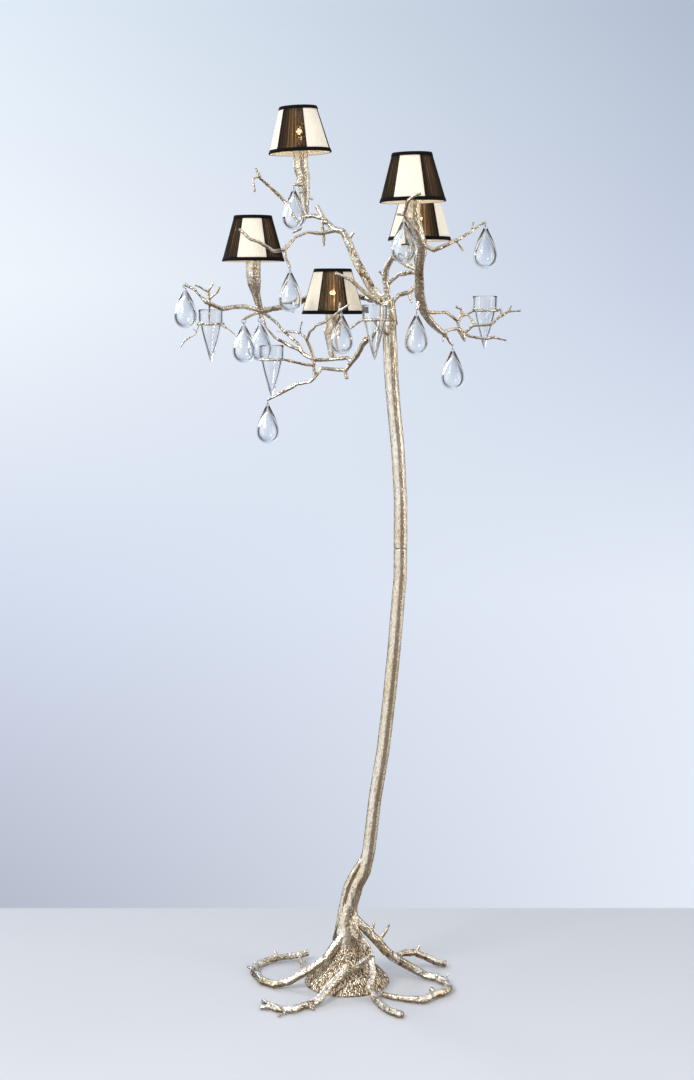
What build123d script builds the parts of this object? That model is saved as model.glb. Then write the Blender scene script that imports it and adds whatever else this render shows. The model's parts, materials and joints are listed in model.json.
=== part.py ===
from build123d import *
from math import cos, radians, sin
import os

# Tree floor lamp: a cast metal tree on a bark cone with surface roots, five candle lights with
# clip-on shades, four glass tealight cups in twig rings and eleven glass drops on wire rings.
# Millimetres, +Z up, origin at the centre of the base's underside, front of the lamp towards -Y.

os.makedirs("parts", exist_ok=True)

# ---- driving dimensions ---------------------------------------------------------------------
crown_height = 1412.0  # floor to the knot where the limbs part
crown_shift = 84.0  # how far the knot stands to the right of the base's centre
seam_share = 0.654  # where the two trunk castings meet, as a share of the crown's height
trunk_radius = 14.0
trunk_bore = 8.5  # radius of the hollow that the lead runs through
coupling_wall = 3.0
coupling_length = 90.0
fit_gap = 0.15  # radial clearance of a piece that is seated in another

base_radius = 88.0  # foot circle of the bark cone
base_rise = 125.0  # floor to the top of the bark cone
bark_depth = 0.02  # height of the bark ridges, as a share of the cone's radius
bark_ridges = 16
base_wall = 7.0
plate_thickness = 4.0
plate_margin = 9.0  # how far the bottom plate stays inside the foot circle
ballast_radius = 54.0
ballast_height = 24.0
gland_radius = 6.0
gland_bore = 3.5
gland_length = 24.0
gland_height = 17.0  # of the cord inlet's axis over the floor

shade_height = 91.0
shade_bottom_radius = 62.5
shade_top_radius = 37.0
shade_cloth = 1.2  # pleated cloth on its stiff lining
binding_width = 6.0
binding_thickness = 0.8
shade_pleats = 24  # flat pleat faces round a shade
frame_wire = 1.2  # half thickness of the clip's wires

sleeve_radius = 15.0
sleeve_rise = 8.0  # sleeve top over the shade's bottom edge
socket_radius = 11.2
socket_depth = 32.0
holder_length = 38.0
cap_radius = 6.9
cap_length = 24.0
bulb_radius = 17.5
bulb_length = 66.0
bulb_widest = 0.33  # where the bulb is widest, as a share of its length
holder_taper = 1.0  # how much slimmer the holder is at its top

cup_radius = 25.0
cup_wall = 3.5
cup_height = 27.0  # straight part, above the twig ring
neck_radius = 22.0  # cone top, just under the straight part
cone_length = 80.0
ring_twig = 2.3  # radius of the twig that is bent round a cup
ring_gap = 0.9  # between a cup's cone and its twig ring
seat_gap = 0.3

drop_radius = 23.5
drop_length = 80.0
drop_nub = 3.9
drop_hole = 1.3
drop_tab = 3.6  # thickness of the flat tab round the hole
hook_radius = 4.4  # centre line of a wire ring
hook_wire = 0.6

limb_sides = 6
trunk_sides = 10
glass_sides = 20
drop_sides = 12
wire_sides = 4
ring_runs = 12  # straight runs in a bent ring

flat_limit = 1e-8  # a facet whose corners lie nearer to one plane than this is left whole

floor_origin = Vector(0, 0, 0)
crown = Vector(crown_shift, 0, crown_height)
seam_height = seam_share * crown_height


# ---- shapes that many pieces share ------------------------------------------------------------
def section_planes(points):
    """A plane across a route at each of its points, turned as little as possible between them."""
    planes = []
    across = None
    for i, point in enumerate(points):
        before = points[max(i - 1, 0)]
        after = points[min(i + 1, len(points) - 1)]
        incoming = (point - before).normalized() if i > 0 else Vector(0, 0, 0)
        outgoing = (after - point).normalized() if i < len(points) - 1 else Vector(0, 0, 0)
        along = (incoming + outgoing).normalized()
        if across is None:
            across = Vector(0, 1, 0) if abs(along.Y) < 0.8 else Vector(1, 0, 0)
        across = (across - along * across.dot(along)).normalized()
        planes.append(Plane(origin=point, x_dir=across, z_dir=along))
    return planes


def polygon_corners(plane, radius, sides):
    """The corners of a regular polygon on a plane."""
    corners = []
    for step in range(sides):
        angle = radians(360 * step / sides)
        corners.append(plane.from_local_coords(Vector(radius * cos(angle), radius * sin(angle), 0)))
    return corners


def faceted(sections):
    """A closed solid with flat facets from each section's corners to the next one's."""
    facets = [Face(Wire.make_polygon(sections[0])), Face(Wire.make_polygon(sections[-1]))]
    for low, high in zip(sections, sections[1:]):
        for i in range(len(low)):
            a, b, c, d = low[i - 1], low[i], high[i], high[i - 1]
            twist = (b - a).cross(c - a).normalized().dot(d - a)
            if abs(twist) < flat_limit:
                facets.append(Face(Wire.make_polygon([a, b, c, d])))
            else:
                facets.append(Face(Wire.make_polygon([a, b, c])))
                facets.append(Face(Wire.make_polygon([a, c, d])))
    return Solid(Shell(facets))


def branch(route, origin=crown, sides=limb_sides, shrink=0.0):
    """A tapering branch along a route of (x, y, z, radius) stations, measured from origin."""
    points = [origin + Vector(x, y, z) for x, y, z, radius in route]
    sections = []
    for plane, station in zip(section_planes(points), route):
        sections.append(polygon_corners(plane, station[3] - shrink, sides))
    return faceted(sections)


def tapered(plane, levels, sides):
    """A solid of straight-sided rings along a plane's normal, from (height, radius) levels."""
    return faceted([polygon_corners(plane.offset(height), radius, sides) for height, radius in levels])


def bent_ring(plane, radius, twig, sides=limb_sides):
    """A twig or wire bent to a closed ring of straight runs round a plane's origin, in two halves.

    The middle of each run lies at the given radius.
    """
    halves = []
    run = 360 / ring_runs
    reach = radius / cos(radians(run / 2))
    for start in (run / 2, 180 + run / 2):
        route = []
        for step in range(ring_runs // 2 + 1):
            angle = radians(start + run * step)
            point = plane.from_local_coords(Vector(reach * cos(angle), reach * sin(angle), 0))
            route.append((point.X, point.Y, point.Z, twig))
        halves.append(branch(route, floor_origin, sides))
    return halves


def export(piece, name):
    piece.label = name
    export_step(piece, f"parts/{name}.step")


# ---- trunk -------------------------------------------------------------------------------------
# Stations are (x, share of the crown's height, radius as a share of the trunk's radius).
trunk_stations = [
    (4, 0.088, 1.1), (7, 0.117, 1.1), (20, 0.149, 1.08), (36, 0.171, 1.02), (46, 0.203, 1.0),
    (58, 0.279, 1.0), (75, 0.355, 1.0), (87, 0.43, 1.0), (97, 0.504, 1.0), (105, 0.579, 1.0),
    (109, 0.612, 1.0), (109, seam_share, 1.0),
    (109, 0.724, 1.0), (103, 0.797, 1.0), (96, 0.848, 1.0), (89, 0.905, 1.04), (86, 0.962, 1.04),
    (crown_shift, 0.99, 0.95), (crown_shift - 3, 1.008, 0.75),
]
trunk_route = []
for x, share, swell in trunk_stations:
    trunk_route.append((x, 0, share * crown_height, swell * trunk_radius))
seam_index = [share for x, share, swell in trunk_stations].index(seam_share)
lower_route = trunk_route[: seam_index + 1]
upper_route = trunk_route[seam_index:]
bore_shrink = trunk_radius - trunk_bore

# A second, thinner stem lies against the trunk's left side above the cone.
side_stem = [
    (30, -3, 266, 6), (12, -6, 236, 7), (-1, -6, 208, 8), (-7, -5, 179, 8), (-13, -3, 140, 8.5),
    (-18, 0, 112, 9),
]
lower_outer = branch(lower_route, floor_origin, trunk_sides)
lower_bore = branch(lower_route[1:], floor_origin, trunk_sides, bore_shrink)
side_branch = branch(side_stem, floor_origin)
upper_outer = branch(upper_route, floor_origin, trunk_sides)
upper_bore = branch(upper_route[:-2], floor_origin, trunk_sides, bore_shrink)

# The coupling tube bridges the seam inside both bores.
seam_centre = Vector(trunk_route[seam_index][0], 0, seam_height)
coupling_route = [
    (0, 0, -coupling_length / 2, trunk_bore - fit_gap),
    (0, 0, coupling_length / 2, trunk_bore - fit_gap),
]
coupling_outer = branch(coupling_route, seam_centre, trunk_sides)
coupling_bore = branch(coupling_route, seam_centre, trunk_sides, coupling_wall)

with BuildPart() as trunk_coupling:
    add(coupling_outer)
    add(coupling_bore, mode=Mode.SUBTRACT)
export(trunk_coupling.part, "trunk_coupling")

with BuildPart() as trunk_upper:
    add(upper_outer)
    add(upper_bore, mode=Mode.SUBTRACT)
export(trunk_upper.part, "trunk_upper")

# ---- base ---------------------------------------------------------------------------------------
cone_levels = [(0, 1.0), (0.05, 0.98), (0.26, 0.7), (0.48, 0.49), (0.78, 0.29), (1.0, 0.2)]


def bark_outline(radius, height):
    """The cone's section at a height: bark ridges and furrows by turns."""
    corners = []
    for step in range(2 * bark_ridges):
        angle = radians(180 * step / bark_ridges)
        depth = 1 + bark_depth if step % 2 == 0 else 1 - bark_depth
        corners.append(Vector(radius * depth * cos(angle), radius * depth * sin(angle), height))
    return corners


cavity_top = plate_thickness + ballast_height + 2.0
plate_radius = base_radius - plate_margin
cavity_levels = [(0, plate_radius), (plate_thickness, plate_radius)]
chamber_levels = [(plate_thickness, plate_radius - base_wall), (cavity_top, ballast_radius + 2.0)]
plate_seat = tapered(Plane.XY, cavity_levels, glass_sides)
chamber = tapered(Plane.XY, chamber_levels, glass_sides)
gland_start = base_radius - gland_length
gland_plane = Plane(origin=(0, gland_start, gland_height), z_dir=(0, 1, 0))

bark_sections = [bark_outline(spread * base_radius, share * base_rise) for share, spread in cone_levels]
with BuildPart() as base_cone:
    add(faceted(bark_sections))
    add([lower_outer, side_branch], mode=Mode.SUBTRACT)
    add([plate_seat, chamber], mode=Mode.SUBTRACT)
    with BuildSketch(gland_plane):
        Circle(gland_radius)
    extrude(amount=gland_length + base_radius, mode=Mode.SUBTRACT)
export(base_cone.part, "base_cone")

with BuildPart() as trunk_lower:
    add([lower_outer, side_branch])
    add(lower_bore, mode=Mode.SUBTRACT)
export(trunk_lower.part, "trunk_lower")

with BuildPart() as base_plate:
    with BuildSketch():
        RegularPolygon(plate_radius, glass_sides)
    extrude(amount=plate_thickness)
export(base_plate.part, "base_plate")

with BuildPart() as base_ballast:
    with BuildSketch(Plane.XY.offset(plate_thickness)):
        RegularPolygon(ballast_radius, glass_sides)
    extrude(amount=ballast_height)
export(base_ballast.part, "base_ballast")

with BuildPart() as cord_gland:
    with BuildSketch(gland_plane):
        Circle(gland_radius)
        Circle(gland_bore, mode=Mode.SUBTRACT)
    extrude(amount=gland_length + 3.0)
export(cord_gland.part, "cord_gland")

# ---- surface roots: routes from the base's centre on the floor ------------------------------------
root_routes = {
    "root_front_left": [
        [
            (8, -12, 140, 9), (19, -22, 114, 9.5), (38, -32, 90, 9.5), (50, -42, 72, 9),
            (25, -54, 56, 8.5), (-12, -72, 42, 8.5), (-36, -96, 26, 8.5), (-58, -130, 12, 8.5),
            (-72, -143, 8.5, 8.5), (-89, -150, 8, 8), (-113, -170, 8, 8), (-139, -164, 7.5, 7.5),
            (-158, -146, 7, 7), (-172, -122, 6, 5),
        ],
        [(-152, -152, 7, 4), (-176, -152, 5, 3.5)],
        [(-118, -168, 7, 3), (-138, -192, 3.5, 2.5)],
        [(-78, -145, 6, 4), (-66, -160, 4, 2.5)],
    ],
    "root_front_right": [
        [
            (50, -44, 66, 7.5), (54, -64, 42, 8), (46, -90, 24, 8), (56, -110, 10, 8),
            (68, -142, 7.5, 7.5), (84, -172, 7.5, 7.5), (106, -192, 8, 8.5), (112, -196, 7, 6),
        ],
    ],
    "root_left_loop": [
        [
            (2, -6, 122, 9), (-16, -20, 98, 9.5), (-44, -38, 66, 9), (-72, -45, 46, 8.5),
            (-98, -42, 30, 8.5), (-125, -40, 14, 8.5), (-152, -40, 8.5, 8.5), (-178, -20, 8.5, 8.5),
            (-197, 25, 8, 8), (-196, 68, 8, 7.5), (-172, 96, 9, 7.5), (-140, 106, 11, 7),
            (-108, 112, 13, 7.5), (-84, 116, 17, 7.5),
        ],
        [(-196, 44, 8, 4), (-214, 48, 13, 2.4)],
        [(-150, 102, 12, 4), (-158, 108, 26, 2.4)],
        [(-92, -43, 34, 4), (-96, 30, 26, 3.4), (-104, 110, 14, 3.4)],
    ],
    "root_right_loop": [
        [
            (14, -2, 142, 9), (36, -6, 120, 10), (60, -6, 94, 10), (82, -2, 66, 10),
            (110, 8, 42, 9.5), (140, 14, 22, 9), (166, 8, 10, 8.5), (190, -4, 8.5, 8.5),
            (208, -28, 8.5, 8.5), (212, -60, 8.5, 8.5), (198, -84, 9, 8.5), (180, -94, 10, 9),
            (156, -122, 9, 9), (126, -114, 7, 6.5), (96, -102, 6.5, 6), (70, -84, 7, 6),
        ],
        [(182, -94, 12, 7), (172, -88, 20, 5)],
        [(200, -17, 8.5, 4), (214, -8, 18, 2.4)],
        [(52, -4, 104, 4), (58, 4, 132, 2.2)],
        [(66, -4, 90, 4), (84, 6, 110, 3), (90, 8, 122, 2.2)],
    ],
    "root_right_back": [
        [
            (96, 6, 50, 7), (118, 40, 46, 8), (144, 60, 40, 8), (168, 70, 26, 8),
            (190, 76, 12, 8), (214, 76, 8, 8),
        ],
        [(150, 62, 42, 4), (156, 64, 54, 2.2)],
    ],
}
root_cutters = {
    "root_front_left": [],
    "root_front_right": ["root_front_left"],
    "root_left_loop": ["root_front_left"],
    "root_right_loop": ["root_front_left", "root_front_right"],
    "root_right_back": ["root_right_loop"],
}
roots = {}
for name, routes in root_routes.items():
    arms = [branch(route, floor_origin) for route in routes]
    cutters = [base_cone.part, trunk_lower.part, cord_gland.part]
    cutters += [roots[other] for other in root_cutters[name]]
    with BuildPart() as root:
        add(arms)
        add(cutters, mode=Mode.SUBTRACT)
    roots[name] = root.part.solids().sort_by(SortBy.VOLUME)[-1]
    export(roots[name], name)

# ---- cups and their places -------------------------------------------------------------------------
# Ring centres, measured from the crown.
cup_places = [(-360, 32, -34), (-237, 30, -106), (-30, -102, -25), (197, 60, -7)]
ring_radius = neck_radius + ring_gap + ring_twig
ring_centres = [crown + Vector(*place) for place in cup_places]


def on_ring(number, turn, radius):
    """The station of a twig that starts or ends on a cup's twig ring, turn degrees round it."""
    x, y, z = cup_places[number - 1]
    return (x + ring_radius * cos(radians(turn)), y + ring_radius * sin(radians(turn)), z, radius)


# ---- limbs: routes from the crown ----------------------------------------------------------------------
limb_routes = {
    "limb_upper_left": [
        [
            (-4, 2, -4, 8.5), (-22, 2, 22, 9.2), (-38, 2, 42, 9.4), (-48, 3, 60, 9.2), (-63, 5, 87, 8.8),
            (-81, 8, 127, 8), (-92, 12, 150, 7), (-110, 18, 155, 6.6), (-130, 26, 173, 6),
            (-144, 32, 201, 4),
        ],
        [(-134, 27, 177, 4), (-152, 36, 182, 4), (-169, 44, 181, 5), (-180, 48, 156, 3.5)],
        [(-177, 48, 162, 3.5), (-211, 58, 213, 3.3), (-237, 55, 238, 3.2), (-258, 50, 256, 3),
         (-268, 48, 277, 2)],
        [(-180, 48, 156, 3.3), (-195, 50, 149, 2.4)],
        [(-260, 49.5, 260, 2.4), (-273, 48, 257, 2.4), (-270, 46, 230, 2)],
        [
            (-104, 16, 153, 4.5), (-138, 10, 146, 4.5), (-163, 0, 148, 4), (-188, -12, 137, 4),
            (-209, -25, 112, 4), (-230, -32, 110, 3.6), (-257, -36, 127, 3.4),
            (-275, -36, 133, 3.2), (-297, -34, 153, 2.2),
        ],
        [(-208, -25, 114, 3), (-206, -27, 98, 2.6), (-197, -29, 77, 2.4)],
        [(-134, 25, 170, 3), (-131, 24, 145, 2.6), (-130, 24, 122, 2)],
        [(-82, 8, 133, 3.5), (-70, 6, 148, 2)],
    ],
    "limb_upper_right": [
        [
            (0, -2, -4, 7), (-5, -10, 36, 6.8), (-8, -16, 57, 6.4), (-6, -28, 77, 5.8),
            (6, -50, 97, 4.8), (33, -85, 83, 4.4), (58, -110, 68, 4.4),
        ],
        [(-7, -17, 60, 3.4), (-21, -22, 71, 2)],
        [(-10, 0, 20, 4), (-2, -10, 46, 4), (19, -40, 64, 3.8), (37, -76, 67, 3.8),
         (57, -112, 66, 3.8)],
    ],
    "limb_centre": [
        [(-4, 4, 0, 5.5), (20, 6, 24, 4.8), (40, 8, 29, 4.6), (58, 9, 46, 4.8), (61, 10, 76, 5)],
        [(40, 8, 31, 3.4), (46, 2, 8, 2)],
        [(54, 8, 42, 3.6), (58, -38, 34, 3.6), (58, -82, 27, 4)],
    ],
    "limb_right": [
        [
            (58, -152, 116, 8), (56, -128, 86, 8.5), (56, -112, 67, 9), (57, -96, 45, 9.8),
            (58, -82, 25, 10.4), (64, -64, 1, 9.4), (72, -50, -17, 7.8), (89, -36, -37, 6.2),
            (114, -20, -57, 4.2),
        ],
        [(59, -78, 16, 3.4), (52, -82, -5, 2.6)],
        [
            (53, -236, 209, 2.2), (39, -234, 205, 2.6), (30, -230, 196, 3), (22, -214, 172, 3.4),
            (37, -195, 153, 3.4), (48, -178, 143, 3.6), (59, -155, 120, 4.4), (81, -158, 107, 3.8),
            (111, -150, 120, 3.6), (134, -138, 132, 3.4), (156, -126, 144, 3), (174, -118, 159, 2.6),
            (184, -114, 162, 2.5),
        ],
        [(24, -213, 171, 2.8), (9, -214, 172, 1.9)],
        [(155, -127, 142, 2.4), (159, -128, 163, 1.8)],
        [(124, -144, 127, 2.6), (138, -146, 107, 2)],
        [(66, -58, -8, 3.8), (87, -40, -11, 3.4), (113, -10, -10, 3.2), (129, 8, -20, 3.2),
         (142, 22, -31, 3.2)],
        [(142, 14, -48, 2.8), (140, 22, -30, 2.8), (149, 30, -17, 2.8), (147, 30, -4, 2.4),
         (136, 28, 1, 1.8)],
        [(148, 30, -17, 2.8), (160, 38, -14, 2.6), on_ring(4, 207, 2.2)],
        [(160, 36, -14, 2.2), (174, 20, -34, 2.4)],
        [
            (106, -26, -51, 3.4), (122, -8, -45, 3.2), (142, 12, -43, 3.2), (154, 14, -52, 3),
            (165, 14, -59, 2.8), (199, 14, -64, 2.6), (211, 14, -60, 2.4), (238, 18, -67, 1.8),
        ],
        [(140, 11, -44, 4), (150, 12, -58, 4), (154, 12, -68, 2)],
        [(152, 14, -53, 3), (170, 16, -37, 2.8), (207, 18, -35, 2.8), (224, 24, -19, 2.6),
         (242, 30, -9, 2.4), (268, 34, -7, 1.8)],
        [(242, 30, -9, 2.2), (249, 32, 3, 1.7)],
        [(112, -21, -55, 2.8), (122, -16, -69, 2.5), (128, -14, -76, 2.4)],
        [(109, -22, -54, 2.4), (108, -24, -68, 1.8)],
        [on_ring(4, 0, 2), (230, 60, -3, 2.2), (232, 60, -20, 1.7)],
    ],
    "limb_left": [
        [
            (-6, 4, 2, 6.5), (-25, 40, 14, 6.4), (-43, 82, 18, 6.2), (-78, 119, 25, 6),
            (-113, 133, 27, 5.8), (-167, 112, 19, 5.6), (-187, 98, 7, 5.6), (-216, 84, 1, 5.6),
            (-260, 74, -8, 5.4), (-292, 52, 1, 4.8), (-316, 20, 0, 4.6), (-334, -3, -4, 4.6),
            (-365, -8, 10, 4), (-378, -6, 22, 3.6), (-390, -3, 35, 3.2), (-410, 0, 46, 2.6),
        ],
        [(-358, -7, 6, 3), (-360, -8, 18, 2.8), (-361, -9, 32, 2.6), (-350, -10, 48, 1.8)],
        [(-360, -8, 16, 2.4), (-343, -12, 29, 2), (-338, -12, 40, 1.7)],
        [(-361, -9, 30, 2.4), (-380, -13, 41, 1.9), (-389, -13, 44, 1.7)],
        [(-260, 74, -10, 4.2), (-262, 78, -23, 2.6)],
        [(-262, 74, -11, 3), (-276, 58, -15, 2.8), (-293, 28, -24, 2.6)],
        [(-196, 94, 6, 2.8), (-195, 94, -12, 1.8)],
        [(-359, -7, 8, 2), (-360, 0, -8, 1.8), (-361, 3.2, -28, 1.7), (-361, 5, -35, 1.7)],
        [on_ring(1, 330, 2), (-318, 14, -48, 2.2), (-297, 6, -67, 1.7)],
        [on_ring(1, 210, 2), (-390, 18, -55, 2.2), (-409, 16, -64, 2.2), (-421, 14, -80, 1.7)],
        [(-388, 18, -50, 1.9), (-396, 18, -42, 1.6)],
    ],
    "limb_lower_left": [
        [
            (2, 0, -24, 7), (-22, 10, -46, 6.5), (-49, 24, -70, 6), (-64, 40, -97, 5.6),
            (-76, 48, -113, 5), (-88, 54, -130, 4.4), (-84, 52, -145, 2.6),
        ],
        [(-74, 46, -111, 4.2), (-84, 49, -103, 4), (-121, 56, -107, 3.6), (-152, 45, -107, 4)],
        [(-86, 54, -128, 4), (-107, 58, -127, 3.8), (-135, 56, -124, 3.6), (-150, 46, -142, 3.6)],
        [(-153, 45, -101, 3.6), (-151, 46, -121, 3.6), (-150, 46, -146, 3.4)],
        [(-149, 46, -142, 3.5), (-160, 48, -151, 3.5), (-186, 53, -156, 3.3), (-213, 58, -171, 3),
         (-248, 60, -190, 2.5)],
        [(-151, 46, -118, 3), (-170, 44, -116, 2.8), (-190, 40, -111, 2.6), on_ring(2, 0, 2.5)],
        [(-151, 45, -106, 3.9), (-169, 52, -97, 3.8), (-182, 58, -87, 3.8), (-206, 66, -76, 3.6),
         (-232, 68, -62, 3.4), (-250, 68, -41, 3.2), (-261, 74, -12, 3)],
        [(-172, 53, -95, 2.8), (-184, 62, -74, 2.8), (-200, 69, -61, 2.7), (-215, 72, -48, 2.6),
         (-230, 76, -30, 2.5), (-255, 75, -12, 2.5)],
        [(-152, 45, -105, 3), (-158, 41, -83, 2.9), (-169, 36, -60, 2.8), (-186, 52, -51, 2.4),
         (-206, 66, -49, 2.4), (-229, 70, -49, 1.8)],
        [(-179, 46, -56, 2.2), (-179, 44, -41, 2), (-175, 42, -29, 1.7)],
        [(-166, 38, -66, 2.6), (-159, 22, -50, 2.6), (-147, 6, -37, 2.6), (-128, -10, -30, 2.5),
         (-101, -26, -10, 2.4), (-94, -31, -5, 2.5)],
        [(-100, -27, -9, 2), (-98, -30, 10, 1.7)],
        [(-95, -31, -5, 2), (-80, -34, 5, 1.6)],
    ],
    "limb_front": [
        [(4, -4, -53, 5.5), (-7, -36, -52, 4), (-19, -60, -40, 3), on_ring(3, 90, 2.8)],
        [on_ring(3, 180, 2.2), (-66, -104, -32, 2.2), (-77, -106, -41, 1.6)],
    ],
    "twig_centre": [
        [(-8, -2, 2, 4), (-25, -8, 12, 4), (-44, -8, 25, 3.8), (-76, -7, 54, 3.4), (-99, -6, 64, 3),
         (-107, -6, 67, 3.4)],
    ],
}
limb_rings = {"limb_left": 0, "limb_lower_left": 1, "limb_front": 2, "limb_right": 3}
limb_cutters = {
    "limb_upper_left": [],
    "limb_left": ["limb_upper_left"],
    "limb_lower_left": ["limb_left"],
    "limb_upper_right": ["limb_upper_left", "limb_left"],
    "limb_centre": ["limb_upper_left", "limb_left", "limb_upper_right"],
    "limb_right": ["limb_upper_right", "limb_centre"],
    "limb_front": ["limb_lower_left"],
    "twig_centre": ["limb_upper_left", "limb_left", "limb_upper_right", "limb_centre"],
}
limbs = {}
for name, others in limb_cutters.items():
    arms = [branch(route) for route in limb_routes[name]]
    if name in limb_rings:
        arms += bent_ring(Plane(origin=ring_centres[limb_rings[name]]), ring_radius, ring_twig)
    cutters = [trunk_upper.part] + [limbs[other] for other in others]
    with BuildPart() as limb:
        add(arms)
        add(cutters, mode=Mode.SUBTRACT)
    limbs[name] = limb.part.solids().sort_by(SortBy.VOLUME)[-1]
    export(limbs[name], name)

# ---- glass cups ---------------------------------------------------------------------------------------
for number, centre in enumerate(ring_centres, start=1):
    foot = Plane(origin=centre + Vector(0, 0, ring_twig + seat_gap))
    outer = [(cup_height, cup_radius), (0, cup_radius)]
    cone = [(0, neck_radius), (-0.5 * cone_length, 0.6 * neck_radius), (-cone_length, 1.0)]
    well = [(cup_height, cup_radius - cup_wall), (0, cup_radius - cup_wall)]
    funnel = [
        (0, neck_radius - cup_wall),
        (-0.5 * cone_length, 0.6 * neck_radius - cup_wall),
        (-0.82 * cone_length, 1.5),
    ]
    cup_solids = [tapered(foot, outer, glass_sides), tapered(foot, cone, glass_sides)]
    cup_hollows = [tapered(foot, well, glass_sides), tapered(foot, funnel, glass_sides)]
    with BuildPart() as tealight_cup:
        add(cup_solids)
        add(cup_hollows, mode=Mode.SUBTRACT)
    export(tealight_cup.part, f"tealight_cup_{number}")

# ---- glass drops on wire rings --------------------------------------------------------------------------
# Where each wire ring passes through its twig, from the crown, and the axis that the drop swings on.
drop_places = [
    (-190, 8, 241, "Y"), (-197, -29, 79, "Y"), (-408, 0, 46, "X"), (-293, 28, -24, "X"),
    (-262, 78, -22, "X"), (-247, 60, -190, "Y"), (-95, -31, -5, "Y"), (22, -214, 170, "Y"),
    (183, -114, 162, "Y"), (52, -82, -5, "Y"), (128, -14, -76, "Y"),
]
drop_levels = [
    (3.6, 2.4), (0, drop_nub), (-0.09 * drop_length, 0.26 * drop_radius),
    (-0.35 * drop_length, 0.62 * drop_radius), (-0.56 * drop_length, 0.92 * drop_radius),
    (-0.7 * drop_length, drop_radius), (-0.85 * drop_length, 0.87 * drop_radius),
    (-0.95 * drop_length, 0.5 * drop_radius), (-drop_length, 0.12 * drop_radius),
]
wire_rings = []
for number, (x, y, z, swing) in enumerate(drop_places, start=1):
    hang = crown + Vector(x, y, z)
    hole_centre = hang - Vector(0, 0, 2 * hook_radius)
    swing_dir = Vector(0, 1, 0) if swing == "Y" else Vector(1, 0, 0)
    hole_plane = Plane(origin=hole_centre - swing_dir * drop_radius, z_dir=swing_dir)
    drop_body = tapered(Plane(origin=hole_centre), drop_levels, drop_sides)
    tab_side = Vector(0, 0, 1).cross(swing_dir)
    with BuildPart() as glass_drop:
        add(drop_body)
        for way in (1, -1):
            tab_face = hole_centre + swing_dir * (way * drop_tab / 2)
            with BuildSketch(Plane(origin=tab_face, x_dir=tab_side, z_dir=swing_dir * way)):
                with Locations((0, way * (drop_nub - 2 * drop_hole))):
                    Rectangle(4 * drop_nub, 2 * drop_nub)
            extrude(amount=drop_radius, mode=Mode.SUBTRACT)
        with BuildSketch(hole_plane):
            Circle(drop_hole)
        extrude(amount=2 * drop_radius, mode=Mode.SUBTRACT)
    export(glass_drop.part, f"glass_drop_{number}")

    ring_plane = Plane(origin=hang - Vector(0, 0, hook_radius), x_dir=swing_dir, z_dir=tab_side)
    with BuildPart() as wire_ring:
        add(bent_ring(ring_plane, hook_radius, hook_wire, wire_sides))
    wire_rings.append(wire_ring.part)

drop_rings = Compound(children=wire_rings)
export(drop_rings, "drop_rings")

# ---- candle lights -----------------------------------------------------------------------------------------
# Centre of each shade's bottom edge from the crown, its lean to the left, and its sleeve's way down.
candles = [
    ((-178, 45, 306), 2.5, [(-172, 45, 257, 13.4), (-170, 45, 226, 10), (-168, 44, 184, 6)]),
    ((-274, 52, 92), 0.0, [(-273, 55, 50, 13.6), (-270, 62, 28, 8.4), (-262, 72, -4, 5.4)]),
    ((41, -160, 198), 1.4, [(43, -160, 164, 13.6), (56, -154, 128, 10), (58, -150, 112, 7.8)]),
    ((61, 10, 132), 0.0, [(61, 10, 100, 12), (61, 10, 72, 6.5)]),
    ((-113, 60, -14), 0.0, [(-119, 60, -52, 12.4), (-116, 58, -84, 8), (-113, 57, -108, 5.4)]),
]
sleeve_stubs = {
    1: [
        [(-172, 44, 246, 3.6), (-180, 26, 243, 3), (-190, 7, 241, 2.4)],
        [(-181, 25, 243, 2.6), (-180, 24, 262, 1.8)],
        [(-170, 45, 226, 3.4), (-153, 44, 214, 1.9)],
    ],
}
sleeve_supports = ["limb_upper_left", "limb_left", "limb_right", "limb_centre", "limb_lower_left"]


def shade_radius(height):
    """Outer radius of a shade at a height over its bottom edge."""
    return shade_bottom_radius + (shade_top_radius - shade_bottom_radius) * height / shade_height


def shade_band(plane, low, high, inner, outer):
    """A ring of the shade's own cone between two heights, as offsets from its outer face."""
    shell = tapered(plane, [(z, shade_radius(z) + outer) for z in (low, high)], shade_pleats)
    hollow = tapered(plane, [(z, shade_radius(z) + inner) for z in (low, high)], shade_pleats)
    with BuildPart() as band:
        add(shell)
        add(hollow, mode=Mode.SUBTRACT)
    return band.part


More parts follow.
